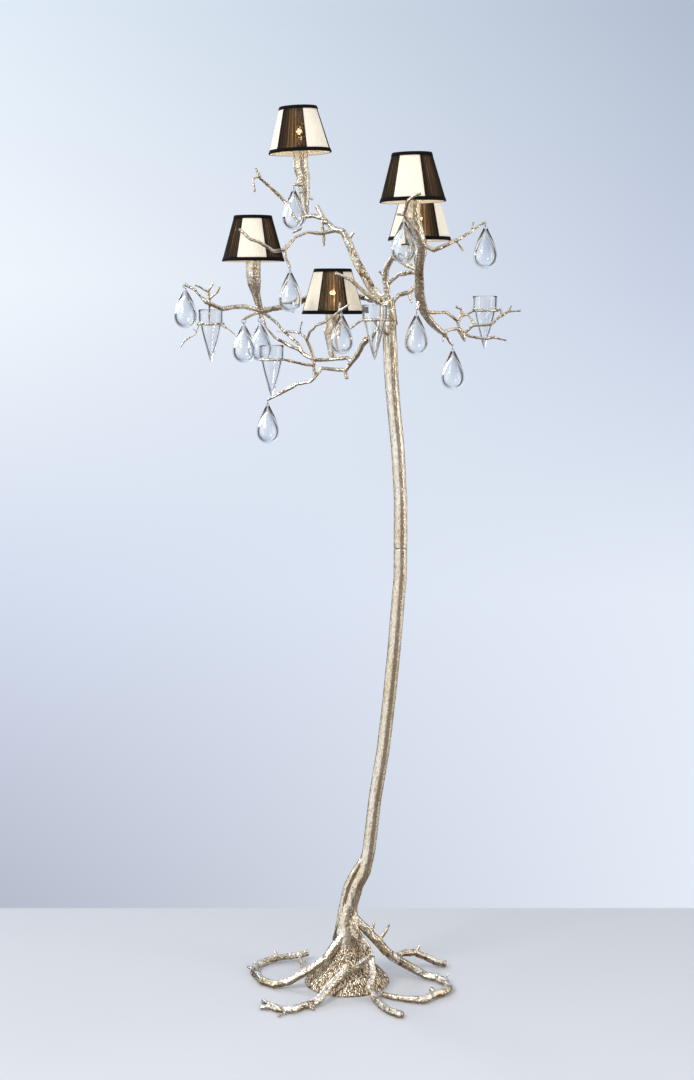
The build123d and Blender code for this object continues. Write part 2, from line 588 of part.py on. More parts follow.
lamp_holders = []
bulb_caps = []
bulb_glasses = []
holder_base = sleeve_rise - socket_depth
cap_base = holder_base + holder_length - cap_length + 2.0
bulb_base = cap_base + cap_length
bulb_profile = [(0.15, 0.82), (bulb_widest, 1.0), (0.6, 0.74), (0.85, 0.3), (1.0, 0.08)]
for number, (place, lean, way_down) in enumerate(candles, start=1):
    tilt = Vector(-sin(radians(lean)), 0, cos(radians(lean)))
    seat = Plane(origin=crown + Vector(*place), x_dir=(0, 1, 0), z_dir=tilt)

    top_route = []
    for height, radius in ((sleeve_rise, sleeve_radius), (holder_base - 4.0, 0.96 * sleeve_radius)):
        point = Vector(*place) + tilt * height
        top_route.append((point.X, point.Y, point.Z, radius))
    sleeve_body = branch(top_route + way_down, crown, trunk_sides)
    socket = tapered(seat, [(holder_base, socket_radius), (sleeve_rise + 1, socket_radius)], trunk_sides)
    stubs = [branch(route) for route in sleeve_stubs.get(number, [])]
    with BuildPart() as candle_sleeve:
        add([sleeve_body] + stubs)
        add(socket, mode=Mode.SUBTRACT)
        add(limbs[sleeve_supports[number - 1]], mode=Mode.SUBTRACT)
    sleeve_solid = candle_sleeve.part.solids().sort_by(SortBy.VOLUME)[-1]
    export(sleeve_solid, f"candle_sleeve_{number}")

    holder_levels = [
        (holder_base, socket_radius - fit_gap),
        (holder_base + holder_length, socket_radius - holder_taper),
    ]
    holder_body = tapered(seat, holder_levels, trunk_sides)
    hole_radius = cap_radius + fit_gap
    holder_hole = tapered(seat, [(cap_base, hole_radius), (bulb_base, hole_radius)], trunk_sides)
    with BuildPart() as lamp_holder:
        add(holder_body)
        add(holder_hole, mode=Mode.SUBTRACT)
    lamp_holders.append(lamp_holder.part)

    cap_levels = [(cap_base, 0.7 * cap_radius), (cap_base + 3, cap_radius), (bulb_base, cap_radius)]
    bulb_caps.append(tapered(seat, cap_levels, trunk_sides))
    bulb_levels = [(bulb_base, cap_radius)]
    for share, spread in bulb_profile:
        bulb_levels.append((bulb_base + share * bulb_length, spread * bulb_radius))
    bulb_glasses.append(tapered(seat, bulb_levels, drop_sides))

    cloth = shade_band(seat, 0, shade_height, -shade_cloth, 0)
    export(cloth, f"shade_{number}")

    bands = [
        shade_band(seat, 0, binding_width, 0, binding_thickness),
        shade_band(seat, shade_height - binding_width, shade_height, 0, binding_thickness),
    ]
    binding = Compound(children=bands)
    export(binding, f"shade_{number}_binding")

    hub_height = bulb_base + bulb_widest * bulb_length - frame_wire
    rim_height = shade_height - 2 * frame_wire
    rim_radius = shade_radius(shade_height) - shade_cloth - seat_gap
    hub_radius = bulb_radius + seat_gap
    wire_width = 2 * frame_wire
    hub_top = hub_height + wire_width
    rim_hole = rim_radius - wire_width
    hub_spread = hub_radius + wire_width
    rim_outer = tapered(seat, [(rim_height, rim_radius), (shade_height, rim_radius)], shade_pleats)
    rim_inner = tapered(seat, [(rim_height, rim_hole), (shade_height, rim_hole)], shade_pleats)
    hub_outer = tapered(seat, [(hub_height, hub_spread), (hub_top, hub_spread)], drop_sides)
    spokes = []
    for turn in (0, 120, 240):
        outward = seat.x_dir.rotate(Axis((0, 0, 0), seat.z_dir), turn)
        foot = seat.origin + outward * (hub_radius + frame_wire) + seat.z_dir * (hub_height + frame_wire)
        head = seat.origin + outward * (rim_radius - frame_wire) + seat.z_dir * (shade_height - frame_wire)
        spoke_route = [(foot.X, foot.Y, foot.Z, frame_wire), (head.X, head.Y, head.Z, frame_wire)]
        spokes.append(branch(spoke_route, floor_origin))
    with BuildPart() as shade_frame:
        add([rim_outer, hub_outer])
        add(rim_inner, mode=Mode.SUBTRACT)
        add(spokes)
        with BuildSketch(seat.offset(hub_height)):
            Circle(hub_radius)
        extrude(amount=wire_width, mode=Mode.SUBTRACT)
    export(shade_frame.part, f"shade_{number}_clip")

holders = Compound(children=lamp_holders)
export(holders, "lamp_holders")
caps = Compound(children=bulb_caps)
export(caps, "bulb_caps")
glasses = Compound(children=bulb_glasses)
export(glasses, "bulb_glasses")
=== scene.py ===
"""Dresses the tree floor lamp: a cast metal tree with candle lights, glass cups and glass drops.

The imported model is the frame. Every piece here rides on one of its bodies and lies where it says.
"""
import json
import math

import bmesh
import bpy
from bpy.props import FloatProperty, FloatVectorProperty, IntProperty, PointerProperty
from mathutils import Matrix, Vector, noise


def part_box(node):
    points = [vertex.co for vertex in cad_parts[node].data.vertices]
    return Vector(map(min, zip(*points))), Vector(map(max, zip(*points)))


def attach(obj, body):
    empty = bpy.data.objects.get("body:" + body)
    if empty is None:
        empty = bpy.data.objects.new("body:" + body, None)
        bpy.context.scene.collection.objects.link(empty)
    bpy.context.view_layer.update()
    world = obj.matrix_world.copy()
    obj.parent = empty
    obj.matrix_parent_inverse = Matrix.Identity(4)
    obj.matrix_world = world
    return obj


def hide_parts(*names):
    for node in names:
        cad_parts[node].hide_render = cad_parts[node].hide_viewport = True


bl_info = {
    "name": "Tree floor lamp",
    "version": (1, 0, 0),
    "blender": (4, 5, 0),
    "location": "3D View > Sidebar > Tree lamp",
    "description": "Casts the tree, pleats its shades and blows its glass",
    "category": "Object",
}

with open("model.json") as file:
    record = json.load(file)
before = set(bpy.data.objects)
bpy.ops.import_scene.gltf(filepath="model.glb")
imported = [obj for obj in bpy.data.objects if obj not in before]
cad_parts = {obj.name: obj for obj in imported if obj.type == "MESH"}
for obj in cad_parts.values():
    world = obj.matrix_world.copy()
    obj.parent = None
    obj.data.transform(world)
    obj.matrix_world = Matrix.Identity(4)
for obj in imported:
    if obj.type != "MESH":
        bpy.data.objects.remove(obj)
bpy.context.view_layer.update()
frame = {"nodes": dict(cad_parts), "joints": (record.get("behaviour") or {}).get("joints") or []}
nodes = frame["nodes"]
joints = {joint["name"]: joint for joint in frame["joints"]}
shade_numbers = range(1, 6)
cup_numbers = range(1, 5)
drop_numbers = range(1, 12)

# ---- sizes of the object, in metres, as in the part's source ----
SHADE_HEIGHT = 0.091
SHADE_FOOT = 0.0625
SHADE_TOP = 0.037
PANELS = 6
BULB_BASE = 0.016
BULB_LENGTH = 0.066
BULB_RADIUS = 0.0175
CAP_RADIUS = 0.0069
CAP_LENGTH = 0.024
SLEEVE_RISE = 0.008
CUP_RADIUS = 0.025
CUP_HEIGHT = 0.027
NECK_RADIUS = 0.022
CONE_LENGTH = 0.080
CUP_WALL = 0.0035
DROP_RADIUS = 0.0235
DROP_LENGTH = 0.080
DROP_TAB = 0.0036
DROP_HOLE = 0.0013
HOOK_RADIUS = 0.0044
HOOK_WIRE = 0.0006

# Turn of each shade's first black panel, in degrees from the front.
PANEL_TURNS = {1: -16, 2: -60, 3: -69, 4: 7, 5: 1}

# ---- shapes and sizes that only the looks have, in metres ----
ROOTS = [f"root_{part}" for part in ("front_left", "front_right", "left_loop", "right_loop", "right_back")]
LIMBS = {
    "left_limbs": ["limb_upper_left", "limb_left", "twig_centre", "candle_sleeve_1", "candle_sleeve_2"],
    "lower_limbs": ["limb_lower_left", "limb_front", "candle_sleeve_5"],
    "right_limbs": ["limb_upper_right", "limb_centre", "limb_right", "candle_sleeve_3", "candle_sleeve_4"],
}
# Tapered swellings where the trunk meets the roots and the limbs: ends, radius, sides and taper.
TRUNK_FOOT = ((-0.003, 0.0, 0.068), (0.004, 0.0, 0.172), 0.033, 24, 0.47)
CROWN_KNOT = ((0.087, 0.0, 1.375), (0.083, 0.0, 1.424), 0.0148, 24, 0.85)
# Section of the low rim round the cone's foot, as (radius, height).
CONE_RIM = [(0.0800, 0.0), (0.0888, 0.0), (0.0892, 0.0012), (0.0884, 0.0034), (0.0860, 0.0052),
            (0.0800, 0.0060)]
TRUNK_RELIEF = 0.0009
# A candle sleeve's reach below and above its shade's seat, and the square of its reach sideways.
SLEEVE_BELOW = 0.13
SLEEVE_ABOVE = 0.012
SLEEVE_REACH_SQUARED = 0.0006
# Where a drop swings past: heights below its hole, space round it, and how far the bark gives way.
SWING_TOP = 0.004
SWING_FOOT = 0.10
SWING_SPACE = 0.014
DROP_CLEARANCE = 0.0006

SPANS_PER_PLEAT = 4
PLEAT_ROWS = 7
CLOTH_WALL = 0.00025
CARD_WALL = 0.0003
LINING_GAP = 0.0005
LINING_SPANS = 12
FACING_INSET = 0.0020
FACING_HEIGHT = 0.0095
# The binding tapes: their heights, and how far they stand outside and inside the cloth.
FOOT_TAPE = 0.0068
TOP_TAPE = 0.006
TAPE_OUT = 0.0012
TAPE_IN = 0.0019
PIPING_END = 0.003
PIPING_RADIUS = 0.00075
CLIP_RING_WIRE = 0.0011
CLIP_ARM_WIRE = 0.001

# Share of the bulb's length at which it is widest.
BULB_WIDEST = 0.33
BULB_WALL = 0.0007
FILAMENT_WIRE = 0.00045
CUP_LIP = 0.0006
# Half sections of a glass drop and of the hollow in it, as (radius, height).
DROP_OUTSIDE = [
    (0.0, 0.0038), (0.0018, 0.0035), (0.0033, 0.0012), (0.0038, -0.0018), (0.0058, -0.0066),
    (0.0106, -0.0155), (0.0162, -0.0270), (0.0207, -0.0390), (0.0231, -0.0490), (0.0236, -0.0565),
    (0.0223, -0.0650), (0.0180, -0.0727), (0.0112, -0.0778), (0.0045, -0.0797), (0.0, -DROP_LENGTH)]
DROP_CAVITY = [
    (0.0, -0.0150), (0.0028, -0.0180), (0.0088, -0.0270), (0.0150, -0.0390), (0.0182, -0.0480),
    (0.0190, -0.0560), (0.0176, -0.0640), (0.0132, -0.0705), (0.0070, -0.0742), (0.0, -0.0752)]

# ---- the stage, as measured from the photograph ----
# The Y at which the floor gives way to the backdrop, and over what depth.
FLOOR_STEP = 0.44
FLOOR_FADE = 0.012
CAMERA_PLACE = (0.0, -3.5, 1.414)
CAMERA_PITCH = 82.3
CAMERA_LENS = 57.67


# ---- meshes ----
def new_object(name, data, place=(0.0, 0.0, 0.0), turn=(0.0, 0.0, 0.0)):
    """A new object, linked to the scene."""
    item = bpy.data.objects.new(name, data)
    item.location = place
    item.rotation_euler = turn
    bpy.context.scene.collection.objects.link(item)
    return item


def link_piece(bm, name, smooth=True):
    """Makes an object at the origin from a bmesh, which is used up."""
    for face in bm.faces:
        face.smooth = smooth
    mesh = bpy.data.meshes.new(name)
    bm.to_mesh(mesh)
    bm.free()
    return new_object(name, mesh)


def finish_with(piece, finish):
    """Gives a piece one of the materials."""
    piece.data.materials.clear()
    piece.data.materials.append(materials[finish])


def dress(piece, finish, slot, body, *replaced):
    """Gives a finished piece its material and the body that it rides, and hides what it replaces; its slot
    is not used.
    """
    finish_with(piece, finish)
    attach(piece, body)
    if replaced:
        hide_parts(*replaced)
    return piece


def lathe(profile, segments=32, closed=False):
    """Turns a profile of (radius, height) corners about Z."""
    bm = bmesh.new()
    ring = [bm.verts.new((radius, 0.0, height)) for radius, height in profile]
    for first, second in zip(ring, ring[1:]):
        bm.edges.new((first, second))
    if closed:
        bm.edges.new((ring[-1], ring[0]))
    bmesh.ops.spin(bm, geom=bm.verts[:] + bm.edges[:], cent=(0, 0, 0), axis=(0, 0, 1),
                   angle=math.tau, steps=segments, use_merge=True, use_duplicate=False)
    bmesh.ops.remove_doubles(bm, verts=bm.verts[:], dist=1e-6)
    bmesh.ops.recalc_face_normals(bm, faces=bm.faces[:])
    return bm


def torus(radius, wire, runs, sides):
    """A ring of wire round Z."""
    profile = []
    for step in range(sides):
        angle = math.tau * step / sides
        profile.append((radius + wire * math.cos(angle), wire * math.sin(angle)))
    return lathe(profile, runs, closed=True)


def rod(start, end, radius, sides=8, taper=1.0):
    """A straight rod between two points, tapered towards the second."""
    bm = bmesh.new()
    start, end = Vector(start), Vector(end)
    along = end - start
    bmesh.ops.create_cone(bm, cap_ends=True, segments=sides, radius1=radius, radius2=radius * taper,
                          depth=along.length)
    turn = Vector((0, 0, 1)).rotation_difference(along)
    bmesh.ops.rotate(bm, verts=bm.verts[:], cent=(0, 0, 0), matrix=turn.to_matrix())
    bmesh.ops.translate(bm, verts=bm.verts[:], vec=(start + end) / 2)
    return bm


def pour(target, source, matrix=None):
    """Adds one bmesh to another and frees it."""
    if matrix is not None:
        source.transform(matrix)
    mesh = bpy.data.meshes.new("poured")
    source.to_mesh(mesh)
    source.free()
    target.from_mesh(mesh)
    bpy.data.meshes.remove(mesh)


def rounded(piece, levels=2):
    """Finishes a piece with a subdivision surface, applied."""
    surface = piece.modifiers.new("round", "SUBSURF")
    surface.levels = levels
    surface.render_levels = levels
    return settled(piece)


def settled(piece):
    """Puts a piece's modifiers into its mesh."""
    graph = bpy.context.evaluated_depsgraph_get()
    mesh = bpy.data.meshes.new_from_object(piece.evaluated_get(graph))
    piece.modifiers.clear()
    old = piece.data
    piece.data = mesh
    bpy.data.meshes.remove(old)
    return piece


def shade_seat(number):
    """Places Z along a candle's axis, with the shade's bottom edge at its zero."""
    joint = joints[f"shade_{number}_turn"]
    axis = Vector(joint["axis"]).normalized()
    lean = Vector((0, 0, 1)).rotation_difference(axis).to_matrix().to_4x4()
    return Matrix.Translation(Vector(joint["pos_m"])) @ lean


def shade_radius(height):
    """Radius of a shade's cone at a height above its bottom edge."""
    return SHADE_FOOT + (SHADE_TOP - SHADE_FOOT) * height / SHADE_HEIGHT


def bulb_height(share):
    """A height above a shade's seat, by its share of the bulb's length."""
    return BULB_BASE + share * BULB_LENGTH


# ---- the casting ----
# A bark gives a point's height in metres and its level, from about 0 in a furrow to about 1 on a ridge; on
# a candle sleeve the level is also raised as painted light.
# Places are multiplied by the pattern's frequency, in waves per metre.
def ridged(place, octaves=3):
    """Noise with sharp valleys, from 0 in a valley to about 1."""
    return min(1.0, abs(noise.fractal(place, 1.0, 2.0, octaves)) * 1.8)


def cone_bark(place, strength):
    """Upright chips of bark with cracks between them, over slow swells."""
    angle = math.atan2(place.y, place.x)
    wander = noise.noise_vector(place * 60.0) * 0.6
    cell = Vector((math.cos(angle) * 24, math.sin(angle) * 24, place.z * 105))
    near = noise.voronoi(cell + wander)[0]
    chip = min(1.0, (near[1] - near[0]) * 2.6)
    swell = noise.noise(place * 40.0)
    rim = min(1.0, max(0.0, (place.z - 0.001) / 0.005))
    return strength * rim * ((chip - 0.6) * 1.8 + swell * 0.8), 0.05 + 0.95 * chip


def on_sleeve(place):
    """Whether a point lies on a candle sleeve."""
    for number in shade_numbers:
        joint = joints[f"shade_{number}_turn"]
        offset = place - Vector(joint["pos_m"])
        along = offset.dot(Vector(joint["axis"]))
        aside = offset.length_squared - along * along
        if -SLEEVE_BELOW < along < SLEEVE_ABOVE and aside < SLEEVE_REACH_SQUARED:
            return True
    return False


def twig_bark(place, strength):
    """Short wandering furrows and small knots; candle sleeves are covered in grains, set bright as painted
    light.
    """
    wander = noise.noise_vector(place * 60.0) * 0.3
    if on_sleeve(place):
        grains = noise.voronoi(Vector((place.x * 330, place.y * 330, place.z * 210)) + wander)[0]
        chip = min(1.0, (grains[1] - grains[0]) * 2.2)
        # Painted light: a sleeve's level starts high, so that its grains show little patina, as if lit by
        # the bulb above.
        return strength * (chip - 0.5 + noise.noise(place * 40.0) * 0.8), 0.48 + 0.6 * chip
    furrow = ridged(place * 125.0 + wander, 2)
    knot = noise.noise(place * 58.0)
    knob = max(0.0, noise.noise(place * 26.0 + Vector((7, 3, 1))) - 0.25)
    return (strength * ((furrow - 0.4) * 0.7 + knot * 1.2 + knob * 2.5),
            0.22 + 0.75 * furrow + 0.35 * knot)


def pole_bark(place, strength):
    """Slow dents and fine pits in a smoother casting, with bark towards the crown."""
    near_end = max(0.0, (place.z - 1.24) / 0.17, (0.30 - place.z) / 0.22)
    dent = noise.noise(Vector((place.x * 30, place.y * 30, place.z * 9)))
    long_furrow = ridged(Vector((place.x * 110, place.y * 110, place.z * 16)), 2)
    pit = ridged(Vector((place.x * 260, place.y * 260, place.z * 150)), 2)
    height = dent * 0.55 + (pit - 0.4) * 0.40 + (long_furrow - 0.4) * (0.25 + 1.5 * near_end)
    return strength * height, 0.30 + long_furrow * 0.35 + pit * 0.65 - 0.15 * near_end


def beside_drop(place):
    """Whether a point of a limb lies where a swinging glass drop comes close."""
    for number in drop_numbers:
        offset = place - Vector(joints[f"drop_{number}_swing"]["pos_m"])
        aside = math.hypot(offset.x, offset.y)
        if -SWING_FOOT < offset.z < -SWING_TOP and aside < DROP_RADIUS + SWING_SPACE:
            return True
    return False


def cast(name, members, voxel, swell, bark, strength, smoothing=4, knots=()):
    """One casting from several CAD solids and added knots, with bark pressed into its skin.

    The solids are swelled, joined on a grid of voxels and smoothed before the bark moves the skin.
    """
    bm = bmesh.new()
    for knot in knots:
        pour(bm, knot)
    for member in members:
        part = bmesh.new()
        part.from_mesh(nodes[member].data)
        bmesh.ops.remove_doubles(part, verts=part.verts[:], dist=1e-6)
        part.normal_update()
        for vert in part.verts:
            if not beside_drop(vert.co):
                vert.co += vert.normal * swell
        pour(bm, part)
    piece = link_piece(bm, name)
    remesh = piece.modifiers.new("skin", "REMESH")
    remesh.mode = "VOXEL"
    remesh.voxel_size = voxel * 1.0
    soften = piece.modifiers.new("soften", "SMOOTH")
    soften.factor = 0.5
    soften.iterations = smoothing
    mesh = settled(piece).data
    # The levels choose where patina lies; on the candle sleeves they carry painted light too.
    furrow = mesh.attributes.new("furrow", "FLOAT", "POINT")
    normals = [vert.normal.copy() for vert in mesh.vertices]
    levels = []
    for vert, normal in zip(mesh.vertices, normals):
        height, level = bark(vert.co, strength)
        if beside_drop(vert.co):
            height = min(height, 0.0) - DROP_CLEARANCE
        vert.co += normal * height
        vert.co.z = max(vert.co.z, 0.0)
        levels.append(level)
    furrow.data.foreach_set("value", levels)
    for polygon in mesh.polygons:
        polygon.use_smooth = True
    mesh.update()
    return piece


# ---- node helpers ----
def feed(tree, socket, value):
    """Links a socket to another one, or sets it to a number or to three of them."""
    if isinstance(value, bpy.types.NodeSocket):
        tree.links.new(value, socket)
    elif isinstance(value, (tuple, list)) and len(value) < len(socket.default_value):
        socket.default_value = (*value, 1.0)
    else:
        socket.default_value = value


def plug(tree, node, **values):
    """Feeds a node's inputs by their names, with _ for a space."""
    for label, value in values.items():
        feed(tree, node.inputs[label.replace("_", " ")], value)
    return node


def add_node(tree, kind, **values):
    """A new node, with its inputs fed."""
    return plug(tree, tree.nodes.new(kind), **values)


def new_material(name):
    """A material with one Principled shader, as (material, tree, shader)."""
    material = bpy.data.materials.new(name)
    material.use_nodes = True
    tree = material.node_tree
    tree.nodes.clear()
    shader = tree.nodes.new("ShaderNodeBsdfPrincipled")
    add_node(tree, "ShaderNodeOutputMaterial", Surface=shader.outputs["BSDF"])
    return material, tree, shader


VECTOR, FLOAT, COLOR = "NodeSocketVector", "NodeSocketFloat", "NodeSocketColor"


def new_group(name, inputs, outputs):
    """A shader node group with named sockets, as (kind, name, default) and (kind, name).

    Gives back the group, the sockets that it is given and the node that takes what it makes.
    """
    group = bpy.data.node_groups.new(name, "ShaderNodeTree")
    for kind, label, default in inputs:
        socket = group.interface.new_socket(label, in_out="INPUT", socket_type=kind)
        if default is not None:
            socket.default_value = default
    for kind, label in outputs:
        group.interface.new_socket(label, in_out="OUTPUT", socket_type=kind)
    return group, group.nodes.new("NodeGroupInput").outputs, group.nodes.new("NodeGroupOutput")


def place_group(tree, group, **values):
    """Puts a group into a tree, feeds it and gives back its outputs."""
    node = tree.nodes.new("ShaderNodeGroup")
    node.node_tree = group
    return plug(tree, node, **values).outputs


def ramp(tree, factor, stops):
    """Colours by (position, colour) stops."""
    node = add_node(tree, "ShaderNodeValToRGB", Fac=factor)
    band = node.color_ramp
    while len(band.elements) < len(stops):
        band.elements.new(0.5)
    for element, (position, colour) in zip(band.elements, stops):
        element.position = position
        element.color = (*colour, 1.0)
    return node.outputs["Color"]


def grain(tree, vector, scale, detail=3.0, roughness=0.5):
    """Smooth noise."""
    node = add_node(tree, "ShaderNodeTexNoise", Vector=vector, Scale=scale, Detail=detail,
                    Roughness=roughness)
    return node.outputs["Fac"]


def maths(tree, operation, *values, kind="ShaderNodeMath"):
    """One step of arithmetic on sockets and constants; the other kind is ShaderNodeVectorMath."""
    node = tree.nodes.new(kind)
    node.operation = operation
    for socket, value in zip(node.inputs, values):
        feed(tree, socket, value)
    return node.outputs[0]


def blend_colours(tree, factor, first, second):
    """Mixes two colours; each is a socket or three numbers, and the factor a socket."""
    node = tree.nodes.new("ShaderNodeMix")
    node.data_type = "RGBA"
    node.clamp_factor = True
    for place, value in ((0, factor), (6, first), (7, second)):
        feed(tree, node.inputs[place], value)
    return node.outputs[2]


def mix_shaders(tree, factor, first, second):
    """Mixes what two shader nodes give."""
    node = add_node(tree, "ShaderNodeMixShader", Fac=factor)
    feed(tree, node.inputs[1], first.outputs[0])
    feed(tree, node.inputs[2], second.outputs[0])
    return node


def map_range(tree, value, low, high, to_low=0.0, to_high=1.0):
    """Maps low to to_low and high to to_high, and clamps the rest."""
    node = add_node(tree, "ShaderNodeMapRange", Value=value, From_Min=low, From_Max=high,
                    To_Min=to_low, To_Max=to_high)
    return node.outputs["Result"]


def bump(tree, height, strength, distance):
    """A normal from a height."""
    node = add_node(tree, "ShaderNodeBump", Height=height, Strength=strength, Distance=distance)
    return node.outputs["Normal"]


def object_place(tree, scale=(1.0, 1.0, 1.0)):
    """Object coordinates, stretched."""
    source = tree.nodes.new("ShaderNodeTexCoord").outputs["Object"]
    return add_node(tree, "ShaderNodeMapping", Vector=source, Scale=scale).outputs["Vector"]


def uv_place(tree):
    """The cloth's own UV map: panels across, metres up."""
    node = tree.nodes.new("ShaderNodeUVMap")
    node.uv_map = "cloth"
    return node.outputs["UV"]


def split(tree, vector):
    """The X, Y and Z of a vector, by name."""
    return add_node(tree, "ShaderNodeSeparateXYZ", Vector=vector).outputs


# ---- shared groups ----
def leaf_metal_group():
    """Metal leaf on a casting: pale and gilt patches, with brown patina down in the furrows."""
    tree, given, made = new_group(
        "leaf metal",
        [(VECTOR, "Place", None), (FLOAT, "Depth", 0.5),
         (COLOR, "Pale", (0.80, 0.75, 0.64, 1.0)), (COLOR, "Gilt", (0.56, 0.46, 0.30, 1.0)),
         (COLOR, "Patina", (0.13, 0.085, 0.05, 1.0)), (FLOAT, "Age", 0.5),
         (FLOAT, "Patch Scale", 24.0)],
        [(COLOR, "Colour"), (FLOAT, "Roughness"), (FLOAT, "Height")],
    )
    patches = grain(tree, given["Place"], given["Patch Scale"], 5.0, 0.62)
    leaf = blend_colours(tree, map_range(tree, patches, 0.38, 0.64), given["Pale"], given["Gilt"])
    speckle = map_range(tree, grain(tree, given["Place"], 330.0, 3.0, 0.65), 0.50, 0.68)
    crevice = map_range(tree, maths(tree, "SUBTRACT", given["Age"], given["Depth"]), -0.10, 0.22)
    dark = maths(tree, "MULTIPLY_ADD", speckle, 0.5, crevice)
    dark.node.use_clamp = True
    pits = grain(tree, given["Place"], 420.0, 4.0, 0.65)
    plug(tree, made, Colour=blend_colours(tree, dark, leaf, given["Patina"]),
         Roughness=map_range(tree, dark, 0.0, 1.0, 0.20, 0.50),
         Height=maths(tree, "ADD", pits, patches))
    return tree


def thread_group():
    """Fine upright threads of a pleated cloth, from the piece's own UV map."""
    tree, given, made = new_group(
        "upright threads",
        [(VECTOR, "Place", None), (FLOAT, "Threads", 900.0)],
        [(FLOAT, "Thread"), (FLOAT, "Slub")],
    )
    drawn_out = maths(tree, "MULTIPLY", given["Place"], (1.0, 0.012, 1.0), kind="ShaderNodeVectorMath")
    plug(tree, made, Thread=grain(tree, drawn_out, given["Threads"], 2.0),
         Slub=grain(tree, drawn_out, 140.0, 3.0, 0.6))
    return tree


def wear_group():
    """Slight blotches that a clean, handled surface has."""
    tree, given, made = new_group(
        "handled",
        [(VECTOR, "Place", None), (COLOR, "Colour", (0.5, 0.5, 0.5, 1.0)),
         (FLOAT, "Contrast", 0.2), (FLOAT, "Scale", 60.0)],
        [(COLOR, "Colour"), (FLOAT, "Mask")],
    )
    blotch = grain(tree, given["Place"], given["Scale"], 4.0)
    darkness = maths(tree, "MULTIPLY", blotch, given["Contrast"])
    plug(tree, made, Colour=blend_colours(tree, darkness, given["Colour"], (0.0, 0.0, 0.0)),
         Mask=blotch)
    return tree


groups = {}


def build_groups():
    groups.update(leaf=leaf_metal_group(), thread=thread_group(), handled=wear_group())


# ---- materials ----
def cast_metal(name, pale, gilt, patina, age, patch_scale, stretch=1.0, relief=0.35):
    """Champagne leaf over a bark casting; stretch below 1 draws its patches out along the height."""
    material, tree, shader = new_material(name)
    depth = tree.nodes.new("ShaderNodeAttribute")
    depth.attribute_name = "furrow"
    metal = place_group(tree, groups["leaf"], Place=object_place(tree, (1.0, 1.0, stretch)),
                        Depth=depth.outputs["Fac"], Pale=pale, Gilt=gilt, Patina=patina, Age=age,
                        Patch_Scale=patch_scale)
    plug(tree, shader, Base_Color=metal["Colour"], Roughness=metal["Roughness"], Metallic=0.94,
         Specular_IOR_Level=0.6, Normal=bump(tree, metal["Height"], relief, 0.0008))
    return material


def clear_glass(name, tint, ripple=0.0):
    """Clear glass, with a ripple where it is blown."""
    material, tree, shader = new_material(name)
    wave = grain(tree, object_place(tree), 60.0, 2.0, 0.4)
    lighter = tuple(min(1.0, part * 1.02) for part in tint)
    plug(tree, shader, Base_Color=ramp(tree, wave, [(0.35, tint), (0.65, lighter)]), Roughness=0.0,
         Transmission_Weight=1.0, IOR=1.48, Normal=bump(tree, wave, ripple, 0.002))
    return material


def plain_finish(name, colour, roughness, metallic=0.0, contrast=0.25, scale=60.0, relief=0.1,
                 emission=None, emission_strength=0.0):
    """A hidden or small piece: one colour with handling marks and a slight relief, and a glow where an
    emission is given.
    """
    material, tree, shader = new_material(name)
    marks = place_group(tree, groups["handled"], Place=object_place(tree), Colour=colour,
                        Contrast=contrast, Scale=scale)
    uneven = map_range(tree, marks["Mask"], 0.3, 0.7, roughness - 0.06, roughness + 0.06)
    plug(tree, shader, Base_Color=marks["Colour"], Roughness=uneven, Metallic=metallic,
         Normal=bump(tree, marks["Mask"], relief, 0.0006))
    if emission is not None:
        plug(tree, shader, Emission_Color=emission, Emission_Strength=emission_strength)
    return material


def ivory_cloth(settings):
    """Ivory pleats, lit from behind, warmer where the bulb is near."""
    material, tree, shader = new_material("ivory pleats")
    uv = uv_place(tree)
    threads = place_group(tree, groups["thread"], Place=uv, Threads=60.0)
    bright = tuple(settings.ivory)
    shaded = tuple(part * 0.93 for part in bright)
    glow = ramp(tree, split(tree, uv)["Y"],
                [(0.0, (0.62, 0.50, 0.32)), (0.045, (0.72, 0.58, 0.36)), (0.09, (0.42, 0.33, 0.2))])
    plug(tree, shader, Base_Color=ramp(tree, threads["Thread"], [(0.3, shaded), (0.7, bright)]),
         Emission_Color=glow, Emission_Strength=settings.glow, Roughness=0.85, Sheen_Weight=0.25,
         Specular_IOR_Level=0.2, Normal=bump(tree, threads["Slub"], 0.25, 0.0006))
    return material


def sheer_cloth(settings):
    """Black organza in fine pleats that lets the warm light through between its threads."""
    material, tree, shader = new_material("sheer black pleats")
    uv = uv_place(tree)
    threads = place_group(tree, groups["thread"], Place=uv, Threads=34.0)
    thread = threads["Thread"]
    cloth = ramp(tree, thread, [(0.35, tuple(settings.sheer)), (0.75, (0.020, 0.015, 0.010))])
    weight = add_node(tree, "ShaderNodeLayerWeight", Blend=0.5)
    squarely = map_range(tree, weight.outputs["Facing"], 0.08, 0.42, 1.0, 0.10)
    # The glow is strongest in the middle of a panel, where it is seen squarely and between threads.
    middle = map_range(tree, maths(tree, "PINGPONG", split(tree, uv)["X"], 0.5), 0.0, 0.5)
    near_bulb = maths(tree, "MULTIPLY", middle, map_range(tree, thread, 0.40, 0.66, 0.12, 1.0))
    glow = ramp(tree, maths(tree, "MULTIPLY", near_bulb, squarely),
                [(0.0, (0.002, 0.001, 0.001)), (0.25, (0.060, 0.030, 0.012)), (1.0, (0.55, 0.29, 0.11))])
    leak = maths(tree, "MULTIPLY", map_range(tree, thread, 0.42, 0.62, 0.05, 0.50), squarely)
    plug(tree, shader, Base_Color=cloth, Emission_Color=glow, Emission_Strength=settings.sheer_glow,
         Alpha=map_range(tree, leak, 0.0, 1.0, 1.0, 0.0), Roughness=0.8, Specular_IOR_Level=0.15,
         Normal=bump(tree, threads["Slub"], 0.4, 0.0008))
    return material


